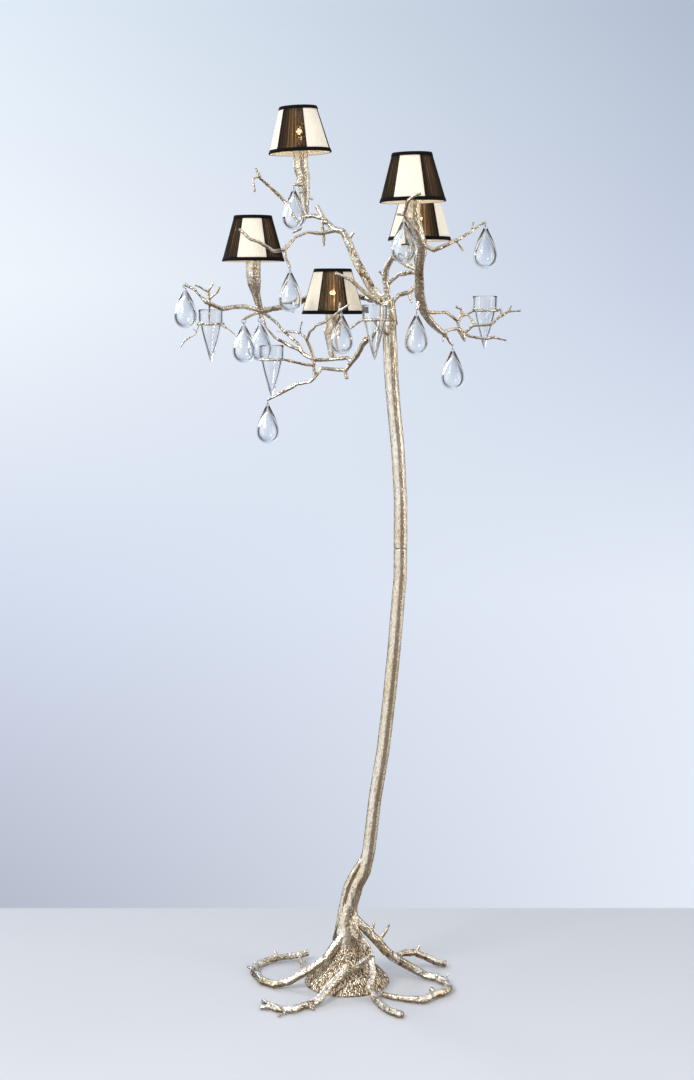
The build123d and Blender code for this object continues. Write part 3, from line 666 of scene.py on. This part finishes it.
def binding_cloth():
    """Black tape, woven in fine bands."""
    material, tree, shader = new_material("black binding tape")
    weave = add_node(tree, "ShaderNodeTexWave", Vector=object_place(tree), Scale=420.0, Distortion=1.5)
    weave.wave_type = "BANDS"
    weave.bands_direction = "Z"
    bands = weave.outputs["Fac"]
    colour = ramp(tree, bands, [(0.2, (0.003, 0.003, 0.004)), (0.8, (0.010, 0.010, 0.011))])
    plug(tree, shader, Base_Color=colour, Roughness=0.85, Specular_IOR_Level=0.12,
         Normal=bump(tree, bands, 0.3, 0.0003))
    return material


materials = {}


def build_materials(settings):
    leaf = [tuple(colour) for colour in (settings.pale, settings.gilt, settings.patina)]
    warm = tuple((first + second) / 2 for first, second in zip(*leaf[:2]))
    materials.update({
        "tree": cast_metal("leafed twigs", *leaf, 0.36, 40.0),
        "pole": cast_metal("leafed pole", *leaf, 0.42, 30.0, stretch=0.35, relief=0.6),
        "roots": cast_metal("leafed roots", *leaf, 0.36, 26.0),
        "base": cast_metal("leafed bark", warm, *leaf[1:], 0.52, 70.0, stretch=0.4, relief=0.6),
        "glass": clear_glass("clear pressed glass", (0.95, 0.97, 1.0)),
        "cup": clear_glass("clear blown glass", (0.94, 0.95, 0.96), ripple=0.08),
        "bulb": clear_glass("bulb glass", (1.0, 0.95, 0.85)),
        "ivory": ivory_cloth(settings),
        "sheer": sheer_cloth(settings),
        # The lining's emission is a painted glow of the bulb's light on the cloth.
        "lining": plain_finish("ivory lining with painted glow", (0.88, 0.82, 0.68), 0.7, contrast=0.08,
                               emission=(0.75, 0.55, 0.3), emission_strength=0.35),
        "binding": binding_cloth(),
        "wire": plain_finish("ring wire", (0.55, 0.52, 0.46), 0.3, metallic=1.0),
        "brass": plain_finish("brass wire", (0.72, 0.56, 0.28), 0.3, metallic=1.0),
        "cap": plain_finish("screw cap", (0.74, 0.64, 0.40), 0.28, metallic=1.0),
        "holder": plain_finish("ivory holder", (0.80, 0.73, 0.58), 0.45),
        "iron": plain_finish("ballast iron", (0.07, 0.07, 0.07), 0.6, metallic=0.8, scale=90.0, relief=0.4),
        "plate": plain_finish("plate felt", (0.045, 0.04, 0.035), 0.9, scale=300.0, relief=0.5),
        "gland": plain_finish("gland plastic", (0.03, 0.028, 0.026), 0.45),
        "filament": plain_finish("glowing filament", (1.0, 0.7, 0.35), 0.5, contrast=0.05,
                                 emission=(1.0, 0.62, 0.25), emission_strength=9.0),
    })


# ---- settings ----
COLOUR = {"subtype": "COLOR", "size": 3, "min": 0.0, "max": 1.0}
LENGTH = {"subtype": "DISTANCE", "unit": "LENGTH", "min": 0.0}


class LampSettings(bpy.types.PropertyGroup):
    """Colours and sizes of the lamp that a user may change."""

    pale: FloatVectorProperty(name="Pale leaf", description="Colour of the brightest metal leaf",
                              default=(0.96, 0.94, 0.89), **COLOUR)
    gilt: FloatVectorProperty(name="Gilt leaf", description="Colour of the warmer patches of the leaf",
                              default=(0.76, 0.65, 0.48), **COLOUR)
    patina: FloatVectorProperty(name="Patina", description="Colour of the brown in the furrows",
                                default=(0.20, 0.135, 0.075), **COLOUR)
    ivory: FloatVectorProperty(name="Ivory cloth", description="Colour of the ivory panels",
                               default=(0.95, 0.90, 0.78), **COLOUR)
    sheer: FloatVectorProperty(name="Sheer cloth", description="Colour of the sheer panels",
                               default=(0.008, 0.006, 0.005), **COLOUR)
    glow: FloatProperty(name="Ivory glow", description="How strongly the lit ivory panels glow",
                        default=0.35, min=0.0, max=2.0)
    sheer_glow: FloatProperty(name="Sheer glow", default=1.0, min=0.0, max=3.0,
                              description="How strongly the light shows through the black panels")
    bark: FloatProperty(name="Bark relief", description="Height of the bark on the limbs",
                        default=0.0009, max=0.003, **LENGTH)
    cone_bark: FloatProperty(name="Base bark relief", default=0.0011, max=0.004,
                             description="Height of the bark on the cone and the roots", **LENGTH)
    pleats: IntProperty(name="Pleats", description="Pleats in each panel of a shade",
                        default=11, min=4, max=24)
    pleat_depth: FloatProperty(name="Pleat depth", default=0.0011, max=0.003,
                               description="How deep the pleats are half way up a shade", **LENGTH)


def lamp_settings():
    return bpy.context.scene.tree_lamp


# ---- operators ----
class LAMP_OT_materials(bpy.types.Operator):
    """Mixes the metal leaf, the glass, the cloths and the small finishes"""

    bl_idname = "lamp.materials"
    bl_label = "Mix the finishes"

    def execute(self, context):
        build_groups()
        build_materials(lamp_settings())
        return {"FINISHED"}


class LAMP_OT_stage(bpy.types.Operator):
    """Sets the floor, the pale background, the lights and the camera"""

    bl_idname = "lamp.stage"
    bl_label = "Set the stage"

    def execute(self, context):
        scene = context.scene
        build_floor()
        build_world(scene)
        build_lights()
        build_camera(scene)
        scene.view_settings.view_transform = "Standard"
        return {"FINISHED"}


# ---- the stage ----
def sky_colour(tree, sideways, upward):
    """The photograph's backdrop: pale to the left, a deeper blue grey to the upper right."""
    across = map_range(tree, sideways, -0.19, 0.19)
    rise = map_range(tree, upward, -0.33, 0.16)
    left = ramp(tree, rise, [(0.0, (0.47, 0.51, 0.61)), (0.34, (0.66, 0.72, 0.86)),
                             (0.7, (0.86, 0.92, 0.98)), (1.0, (0.76, 0.84, 0.94))])
    right = ramp(tree, rise, [(0.0, (0.77, 0.83, 0.93)), (0.34, (0.78, 0.84, 0.94)),
                              (0.7, (0.58, 0.64, 0.78)), (1.0, (0.45, 0.52, 0.64))])
    return blend_colours(tree, across, left, right)


def build_world(scene):
    """A pale backdrop for the camera, a plain sky for diffuse light and a studio for reflections."""
    world = bpy.data.worlds.new("studio")
    scene.world = world
    world.use_nodes = True
    tree = world.node_tree
    tree.nodes.clear()
    path = tree.nodes.new("ShaderNodeLightPath").outputs
    reflected = maths(tree, "MAXIMUM", path["Is Glossy Ray"], path["Is Transmission Ray"])
    shown = maths(tree, "MAXIMUM", path["Is Camera Ray"], reflected)
    coord = tree.nodes.new("ShaderNodeTexCoord")
    direction = split(tree, coord.outputs["Generated"])
    backdrop = sky_colour(tree, direction["X"], direction["Z"])
    # Metal and glass mirror a bright window on the left, a dim warm room, a strip light on the right,
    # dark flags beside the backdrop and the backdrop itself ahead.
    towards = map_range(tree, direction["Y"], -1.0, 1.0, 1.0, -1.0)
    azimuth = maths(tree, "ARCTAN2", direction["X"], towards)
    ahead = map_range(tree, maths(tree, "ABSOLUTE", azimuth), 2.55, 2.78)
    room = ramp(tree, map_range(tree, azimuth, -math.pi, math.pi), [
        (0.0, (0.05, 0.05, 0.05)), (0.165, (0.05, 0.05, 0.05)), (0.20, (1.0, 0.99, 0.96)),
        (0.42, (1.12, 1.10, 1.06)), (0.49, (0.34, 0.29, 0.23)), (0.69, (0.18, 0.14, 0.10)),
        (0.715, (1.1, 1.0, 0.84)), (0.81, (1.1, 1.0, 0.84)), (0.84, (0.04, 0.04, 0.04)),
        (1.0, (0.04, 0.04, 0.04))])
    overhead = map_range(tree, direction["Z"], 0.30, 0.80)
    underfoot = map_range(tree, direction["Z"], -0.20, -0.60)
    room = blend_colours(tree, overhead, room, (0.85, 0.85, 0.86))
    room = blend_colours(tree, underfoot, room, (0.16, 0.12, 0.09))
    mirrored = blend_colours(tree, ahead, room, backdrop)
    seen = add_node(tree, "ShaderNodeBackground", Strength=1.0,
                    Color=blend_colours(tree, reflected, backdrop, mirrored))
    lit = add_node(tree, "ShaderNodeBackground", Strength=0.62, Color=(0.86, 0.91, 1.0))
    surface = mix_shaders(tree, shown, lit, seen)
    add_node(tree, "ShaderNodeOutputWorld", Surface=surface.outputs["Shader"])


def build_floor():
    """A wide floor, with painted shade that darkens it towards the back; past a soft line behind the lamp
    it takes the backdrop's colour.
    """
    bm = bmesh.new()
    bmesh.ops.create_grid(bm, x_segments=40, y_segments=40, size=30.0)
    floor = link_piece(bm, "floor", smooth=False)
    material, tree, shader = new_material("studio floor")
    place = tree.nodes.new("ShaderNodeTexCoord").outputs["Object"]
    depth = split(tree, place)["Y"]
    near = ramp(tree, grain(tree, place, 1.3, 2.0), [(0.3, (0.83, 0.84, 0.87)), (0.7, (0.89, 0.90, 0.92))])
    # Painted shade: the floor turns darker towards the back.
    painted_falloff = map_range(tree, depth, -0.9, FLOOR_STEP)
    plug(tree, shader, Base_Color=blend_colours(tree, painted_falloff, near, (0.72, 0.73, 0.76)),
         Roughness=0.9, Specular_IOR_Level=0.1)

    sight = maths(tree, "SUBTRACT", place, CAMERA_PLACE, kind="ShaderNodeVectorMath")
    direction = split(tree, maths(tree, "NORMALIZE", sight, kind="ShaderNodeVectorMath"))
    far = add_node(tree, "ShaderNodeEmission", Color=sky_colour(tree, direction["X"], direction["Z"]))
    past = map_range(tree, depth, FLOOR_STEP, FLOOR_STEP + FLOOR_FADE)
    seen = mix_shaders(tree, past, shader, far)
    # The metal mirrors the studio's walls rather than this endless floor.
    path = tree.nodes.new("ShaderNodeLightPath")
    clear = tree.nodes.new("ShaderNodeBsdfTransparent")
    surface = mix_shaders(tree, path.outputs["Is Glossy Ray"], seen, clear)
    output = next(node for node in tree.nodes if node.type == "OUTPUT_MATERIAL")
    plug(tree, output, Surface=surface.outputs["Shader"])
    floor.data.materials.append(material)


def add_area(name, place, height, size, power, colour):
    """A rectangular light that faces the lamp at a height."""
    light = bpy.data.lights.new(name, "AREA")
    light.shape = "RECTANGLE"
    light.size, light.size_y = size
    light.energy = power
    light.color = colour
    aim = Vector((0.0, 0.0, height)) - Vector(place)
    new_object(name, light, place, aim.to_track_quat("-Z", "Y").to_euler())


def build_lights():
    """Three studio lights, and a small warm one in each bulb."""
    add_area("key", (-2.2, -2.4, 3.2), 0.8, (1.4, 1.4), 62.0, (1.0, 0.985, 0.96))
    add_area("side", (2.6, -1.2, 1.6), 0.9, (0.7, 2.4), 16.0, (1.0, 0.93, 0.84))
    add_area("rim", (-1.6, 2.2, 2.4), 1.1, (1.0, 1.6), 22.0, (0.9, 0.95, 1.0))
    for number in shade_numbers:
        light = bpy.data.lights.new(f"candle_{number}", "POINT")
        light.energy = 0.55
        light.color = (1.0, 0.66, 0.34)
        light.shadow_soft_size = 0.006
        new_object(f"candle_{number}", light, shade_seat(number) @ Vector((0, 0, bulb_height(0.4))))


def build_camera(scene):
    """The camera that took the photograph, as measured from it."""
    camera = bpy.data.cameras.new("camera")
    camera.sensor_fit = "AUTO"
    camera.sensor_width = 36.0
    camera.lens = CAMERA_LENS
    camera.clip_start = 0.05
    camera.clip_end = 100.0
    scene.camera = new_object("camera", camera, CAMERA_PLACE, (math.radians(CAMERA_PITCH), 0.0, 0.0))


# ---- the pieces ----
class LAMP_OT_base(bpy.types.Operator):
    """Casts the bark cone and its roots, and finishes what is under them"""

    bl_idname = "lamp.base"
    bl_label = "Cast the base"

    def execute(self, context):
        relief = lamp_settings().cone_bark
        cone = cast("bark_cone", ["base_cone"], voxel=0.00115, swell=0.0, bark=cone_bark,
                    strength=relief, smoothing=6, knots=[lathe(CONE_RIM, 120, closed=True)])
        dress(cone, "base", "antique_metal", "root", "base_cone")
        arms = cast("surface_roots", ROOTS, voxel=0.0014, swell=0.0005, bark=twig_bark,
                    strength=relief, smoothing=6, knots=[rod(*TRUNK_FOOT)])
        dress(arms, "roots", "antique_metal", "root", *ROOTS)
        for node, finish in (("base_plate", "plate"), ("base_ballast", "iron"),
                             ("cord_gland", "gland"), ("trunk_coupling", "iron")):
            finish_with(nodes[node], finish)
        return {"FINISHED"}


class LAMP_OT_pole(bpy.types.Operator):
    """Casts the two halves of the trunk"""

    bl_idname = "lamp.pole"
    bl_label = "Cast the trunk"

    def execute(self, context):
        for name, node in (("lower_trunk", "trunk_lower"), ("upper_trunk", "trunk_upper")):
            piece = cast(name, [node], voxel=0.0015, swell=0.0002, bark=pole_bark,
                         strength=TRUNK_RELIEF, smoothing=8)
            dress(piece, "pole", "antique_metal", "root", node)
        return {"FINISHED"}


class LAMP_OT_limbs(bpy.types.Operator):
    """Casts the limbs, their twigs and the candle sleeves"""

    bl_idname = "lamp.limbs"
    bl_label = "Cast the limbs"

    def execute(self, context):
        for name, members in LIMBS.items():
            knots = [rod(*CROWN_KNOT)] if name == "left_limbs" else []
            piece = cast(name, members, voxel=0.0012, swell=0.0006, bark=twig_bark,
                         strength=lamp_settings().bark, smoothing=4, knots=knots)
            dress(piece, "tree", "antique_metal", "root", *members)
        return {"FINISHED"}


class LAMP_OT_shades(bpy.types.Operator):
    """Pleats the shades and gives each its lining, bindings and wire clip"""

    bl_idname = "lamp.shades"
    bl_label = "Pleat the shades"

    def execute(self, context):
        for number in shade_numbers:
            build_shade(number, lamp_settings())
        return {"FINISHED"}


def around(radius, angle, height):
    """A point at a radius and an angle round Z."""
    return Vector((radius * math.cos(angle), radius * math.sin(angle), height))


def panel_start(panel, turn):
    """Where a panel starts; with no turn, the middle of panel 0 is at the front."""
    return math.radians(turn) + math.tau * (panel - 0.5) / PANELS - math.pi / 2


def pleated_panels(first_panel, settings, turn):
    """Every second panel of a shade: upright pleats between bottom and top."""
    bm = bmesh.new()
    layer = bm.loops.layers.uv.new("cloth")
    spans = settings.pleats * SPANS_PER_PLEAT
    for panel in range(first_panel, PANELS, 2):
        start = panel_start(panel, turn)
        columns = []
        for column in range(spans + 1):
            share = column / spans
            angle = start + math.tau / PANELS * share
            fold = 0.5 - 0.5 * math.cos(math.tau * settings.pleats * share)
            line = []
            for row in range(PLEAT_ROWS + 1):
                height = SHADE_HEIGHT * row / PLEAT_ROWS
                # The pleats are pressed flatter at the bindings.
                depth = settings.pleat_depth * (0.55 + 0.45 * math.sin(math.pi * row / PLEAT_ROWS))
                line.append(bm.verts.new(around(shade_radius(height) - depth * fold, angle, height)))
            columns.append(line)
        for column in range(spans):
            for row in range(PLEAT_ROWS):
                corners = ((column, row), (column + 1, row), (column + 1, row + 1), (column, row + 1))
                face = bm.faces.new([columns[u][v] for u, v in corners])
                for loop, (u, v) in zip(face.loops, corners):
                    loop[layer].uv = (panel + u / spans, SHADE_HEIGHT * v / PLEAT_ROWS)
    return bm


def shade_lining(settings, turn):
    """A stiff lining inside the ivory panels only, so that the bulb shows through the black ones.

    A low ring faces the foot of all the panels.
    """
    lining = bmesh.new()
    low_radius, high_radius = (shade_radius(height) - settings.pleat_depth - LINING_GAP
                               for height in (0.0, SHADE_HEIGHT))
    shrink = high_radius / low_radius
    for panel in range(1, PANELS, 2):
        start = panel_start(panel, turn)
        sheet = bmesh.new()
        edge = [sheet.verts.new(around(low_radius, start + math.tau / PANELS * column / LINING_SPANS,
                                       LINING_GAP))
                for column in range(LINING_SPANS + 1)]
        sides = [sheet.edges.new(pair) for pair in zip(edge, edge[1:])]
        grown = bmesh.ops.extrude_edge_only(sheet, edges=sides)
        top = [item for item in grown["geom"] if isinstance(item, bmesh.types.BMVert)]
        bmesh.ops.scale(sheet, vec=(shrink, shrink, 1.0), verts=top)
        bmesh.ops.translate(sheet, vec=(0, 0, SHADE_HEIGHT - 2 * LINING_GAP), verts=top)
        pour(lining, sheet)
    facing = [(shade_radius(height) - FACING_INSET, height) for height in (0.0, FACING_HEIGHT)]
    pour(lining, lathe(facing, 48))
    return lining


def shade_trim(turn):
    """The binding tapes at the foot and the top, and the piping between the panels."""
    trim = bmesh.new()
    for low, high in ((0.0, FOOT_TAPE), (SHADE_HEIGHT - TOP_TAPE, SHADE_HEIGHT)):
        outer_low, outer_high = (shade_radius(height) + TAPE_OUT for height in (low, high))
        inner_low, inner_high = (shade_radius(height) - TAPE_IN for height in (low, high))
        profile = [(outer_low - 0.0005, low - 0.0003), (outer_low, low + 0.0006),
                   (outer_high, high - 0.0006), (outer_high - 0.0005, high + 0.0003),
                   (inner_high, high + 0.0002), (inner_high, high - 0.001),
                   (inner_low, low + 0.001), (inner_low, low - 0.0002)]
        pour(trim, lathe(profile, 72, closed=True))
    for panel in range(PANELS):
        angle = panel_start(panel, turn)
        low, high = (around(shade_radius(height) + 0.0001, angle, height)
                     for height in (PIPING_END, SHADE_HEIGHT - PIPING_END))
        pour(trim, rod(low, high, PIPING_RADIUS))
    return trim


def shade_clip():
    """A spring ring round the bulb, a ring inside the top binding and three arms between them."""
    clip = bmesh.new()
    low, high = bulb_height(BULB_WIDEST), SHADE_HEIGHT - 0.0012
    hub, rim = BULB_RADIUS + 0.0015, shade_radius(SHADE_HEIGHT) - 0.0028
    for radius, height in ((hub, low), (rim, high)):
        pour(clip, torus(radius, CLIP_RING_WIRE, 36, 8), Matrix.Translation((0, 0, height)))
    for arm in range(3):
        angle = math.tau * arm / 3 + math.pi / 2
        pour(clip, rod(around(hub, angle, low), around(rim, angle, high), CLIP_ARM_WIRE))
    return clip


def thickened(piece, thickness, offset):
    """Gives a piece of sheet its thickness."""
    wall = piece.modifiers.new("wall", "SOLIDIFY")
    wall.thickness = thickness
    wall.offset = offset
    return settled(piece)


def build_shade(number, settings):
    """Puts a shade's cloth, lining, trim and clip on its bulb."""
    body = f"shade_unit_{number}"
    turn = PANEL_TURNS[number]

    def seated(bm, part):
        bm.transform(shade_seat(number))
        return link_piece(bm, f"shade_{number}_{part}")

    for first, kind in enumerate(("sheer", "ivory")):
        cloth = thickened(seated(pleated_panels(first, settings, turn), kind), CLOTH_WALL, -1.0)
        dress(cloth, kind, "shade_cloth", body, f"shade_{number}")
    lining = thickened(seated(shade_lining(settings, turn), "lining"), CARD_WALL, 0.0)
    dress(lining, "lining", "shade_cloth", body)
    trim = seated(shade_trim(turn), "trim")
    dress(trim, "binding", "black_binding", body, f"shade_{number}_binding")
    clip = seated(shade_clip(), "wire_clip")
    dress(clip, "brass", "clip_wire", body, f"shade_{number}_clip")


class LAMP_OT_lights(bpy.types.Operator):
    """Makes the bulbs, their filaments, screw caps and holders"""

    bl_idname = "lamp.lights"
    bl_label = "Fit the bulbs"

    def execute(self, context):
        widest = bulb_height(BULB_WIDEST)
        outside = [(0.0, BULB_BASE + BULB_LENGTH), (0.0016, bulb_height(0.985)),
                   (0.0048, bulb_height(0.86)), (0.0122, bulb_height(0.62)),
                   (BULB_RADIUS * 0.985, widest + 0.004), (BULB_RADIUS * 0.97, widest - 0.005),
                   (0.0132, bulb_height(0.13)), (CAP_RADIUS - 0.0002, BULB_BASE)]
        inside = [(max(radius - BULB_WALL, 0.0), height - (0.0008 if radius < 0.004 else 0.0))
                  for radius, height in reversed(outside)]

        cap_end = BULB_BASE - CAP_LENGTH
        thread = [(0.0, cap_end), (0.0045, cap_end)]
        for turn in range(6):
            height = cap_end + 0.004 + 0.0028 * turn
            thread += [(CAP_RADIUS - 0.0009, height), (CAP_RADIUS - 0.0001, height + 0.0014)]
        thread += [(CAP_RADIUS, BULB_BASE - 0.0025), (CAP_RADIUS, BULB_BASE - 0.0001),
                   (0.0, BULB_BASE - 0.0001)]

        base = SLEEVE_RISE - 0.032
        top = base + 0.038
        well = CAP_RADIUS + 0.0004
        socket = [(0.0, base), (0.0108, base), (0.0108, top - 0.001), (0.0100, top), (well, top),
                  (well, cap_end - 0.0006), (0.0, cap_end - 0.0006)]

        low, shoulder, tip, dip = (BULB_BASE + rise for rise in (0.0, 0.022, 0.036, 0.026))
        filament = [Vector((x, 0.0, z)) for x, z in
                    ((-0.002, low), (-0.0045, shoulder), (-0.002, tip), (0.0, dip), (0.002, tip),
                     (0.0045, shoulder), (0.002, low))]

        bulbs, caps, holders, filaments = (bmesh.new() for piece in range(4))
        for number in shade_numbers:
            seat = shade_seat(number)
            for target, profile, segments in ((bulbs, outside + inside, 24), (caps, thread, 24),
                                              (holders, socket, 28)):
                pour(target, lathe(profile, segments), seat)
            for first, second in zip(filament, filament[1:]):
                pour(filaments, rod(first, second, FILAMENT_WIRE, 6), seat)
        bulb_glass = rounded(link_piece(bulbs, "candle_bulbs"), 1)
        dress(bulb_glass, "bulb", "bulb_glass", "root", "bulb_glasses")
        dress(link_piece(caps, "screw_caps"), "cap", "cap_metal", "root", "bulb_caps")
        dress(link_piece(holders, "candle_holders"), "holder", "holder_plastic", "root",
              "lamp_holders")
        dress(link_piece(filaments, "filaments"), "filament", "cap_metal", "root")
        return {"FINISHED"}


class LAMP_OT_cups(bpy.types.Operator):
    """Blows the tealight cups with their long pointed feet"""

    bl_idname = "lamp.cups"
    bl_label = "Blow the cups"

    def execute(self, context):
        bore = CUP_RADIUS - CUP_WALL
        throat = NECK_RADIUS - CUP_WALL
        outside = [(0.0, -CONE_LENGTH), (0.0008, -CONE_LENGTH + 0.0004)]
        outside += [(radius, -share * CONE_LENGTH) for radius, share in
                    ((0.0028, 0.93), (0.0078, 0.72), (0.0136, 0.47), (0.0189, 0.2), (0.0213, 0.05))]
        outside += [(NECK_RADIUS, -0.001), (NECK_RADIUS + 0.0004, 0.0), (CUP_RADIUS - 0.0012, 0.0003),
                    (CUP_RADIUS - 0.0001, 0.0016), (CUP_RADIUS, 0.006), (CUP_RADIUS, CUP_HEIGHT - 0.004)]
        lip = [(CUP_RADIUS - 0.0001, CUP_HEIGHT - CUP_LIP), (CUP_RADIUS - 0.0009, CUP_HEIGHT),
               (bore + 0.0009, CUP_HEIGHT), (bore, CUP_HEIGHT - CUP_LIP)]
        inside = [(bore, 0.0020), (bore - 0.0004, 0.0008), (throat + 0.0006, 0.0004),
                  (throat - 0.0002, -0.0006)]
        inside += [(radius, -share * CONE_LENGTH) for radius, share in
                   ((0.0161, 0.2), (0.0104, 0.47), (0.0044, 0.72), (0.0012, 0.82), (0.0, 0.825))]
        for number in cup_numbers:
            low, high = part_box(f"tealight_cup_{number}")
            foot = Vector(((low.x + high.x) / 2, (low.y + high.y) / 2, high.z - CUP_HEIGHT))
            bm = lathe(outside + lip + inside, 40)
            bm.transform(Matrix.Translation(foot))
            piece = rounded(link_piece(bm, f"glass_cup_{number}"), 1)
            dress(piece, "cup", "clear_glass", f"cup_{number}", f"tealight_cup_{number}")
        return {"FINISHED"}


class LAMP_OT_drops(bpy.types.Operator):
    """Presses the glass drops and bends the wire rings that they hang on"""

    bl_idname = "lamp.drops"
    bl_label = "Hang the drops"

    def execute(self, context):
        wires = bmesh.new()
        shape = drop_shape()
        for number in drop_numbers:
            joint = joints[f"drop_{number}_swing"]
            hole = Vector(joint["pos_m"])
            sideways = abs(joint["axis"][0]) > 0.5
            turn = Matrix.Rotation(math.pi / 2, 4, "Z") if sideways else Matrix.Identity(4)
            bm = bmesh.new()
            bm.from_mesh(shape)
            bm.transform(Matrix.Translation(hole) @ turn)
            piece = link_piece(bm, f"drop_glass_{number}")
            dress(piece, "glass", "clear_glass", f"drop_{number}", f"glass_drop_{number}")
            upright = Matrix.Rotation(math.pi / 2, 4, "X" if sideways else "Y")
            centre = Matrix.Translation(hole + Vector((0, 0, HOOK_RADIUS)))
            pour(wires, torus(HOOK_RADIUS, HOOK_WIRE, 28, 8), centre @ upright)
        bpy.data.meshes.remove(shape)
        dress(link_piece(wires, "drop_wires"), "wire", "ring_wire", "root", "drop_rings")
        return {"FINISHED"}


def drop_shape():
    """A hollow glass drop with its hole at the origin, and its tab thin along Y."""
    bm = lathe(DROP_OUTSIDE, 24)
    cavity = lathe(DROP_CAVITY, 24)
    bmesh.ops.reverse_faces(cavity, faces=cavity.faces[:])
    pour(bm, cavity)
    for vert in bm.verts:
        near_hole = max(0.0, min(1.0, (vert.co.z + 0.0075) / 0.005))
        limit = DROP_TAB / 2 * 0.94
        flat = max(-limit, min(limit, vert.co.y))
        vert.co.y += (flat - vert.co.y) * near_hole
    drop = rounded(link_piece(bm, "drop_shape"))
    drill = link_piece(rod((0, -0.01, 0), (0, 0.01, 0), DROP_HOLE, 20), "drill")
    cut = drop.modifiers.new("hole", "BOOLEAN")
    cut.operation = "DIFFERENCE"
    cut.object = drill
    mesh = settled(drop).data
    bpy.data.objects.remove(drop)
    bpy.data.objects.remove(drill)
    return mesh


class LAMP_PT_panel(bpy.types.Panel):
    """Lists the lamp's pieces and finishes"""

    bl_idname = "LAMP_PT_panel"
    bl_label = "Tree lamp"
    bl_space_type = "VIEW_3D"
    bl_region_type = "UI"
    bl_category = "Tree lamp"

    def draw(self, context):
        column = self.layout.column(align=True)
        for operator in steps:
            column.operator(operator.bl_idname)
        settings = lamp_settings()
        finishes = self.layout.column(align=True)
        for label in LampSettings.__annotations__:
            finishes.prop(settings, label)


steps = (LAMP_OT_materials, LAMP_OT_stage, LAMP_OT_base, LAMP_OT_pole, LAMP_OT_limbs, LAMP_OT_shades,
         LAMP_OT_lights, LAMP_OT_cups, LAMP_OT_drops)
classes = (LampSettings, *steps, LAMP_PT_panel)


def register():
    for item in classes:
        bpy.utils.register_class(item)
    bpy.types.Scene.tree_lamp = PointerProperty(type=LampSettings)


def unregister():
    del bpy.types.Scene.tree_lamp
    for item in reversed(classes):
        bpy.utils.unregister_class(item)


def main():
    register()
    for operator in steps:
        group, action = operator.bl_idname.split(".")
        getattr(getattr(bpy.ops, group), action)()


if __name__ == "__main__":
    main()
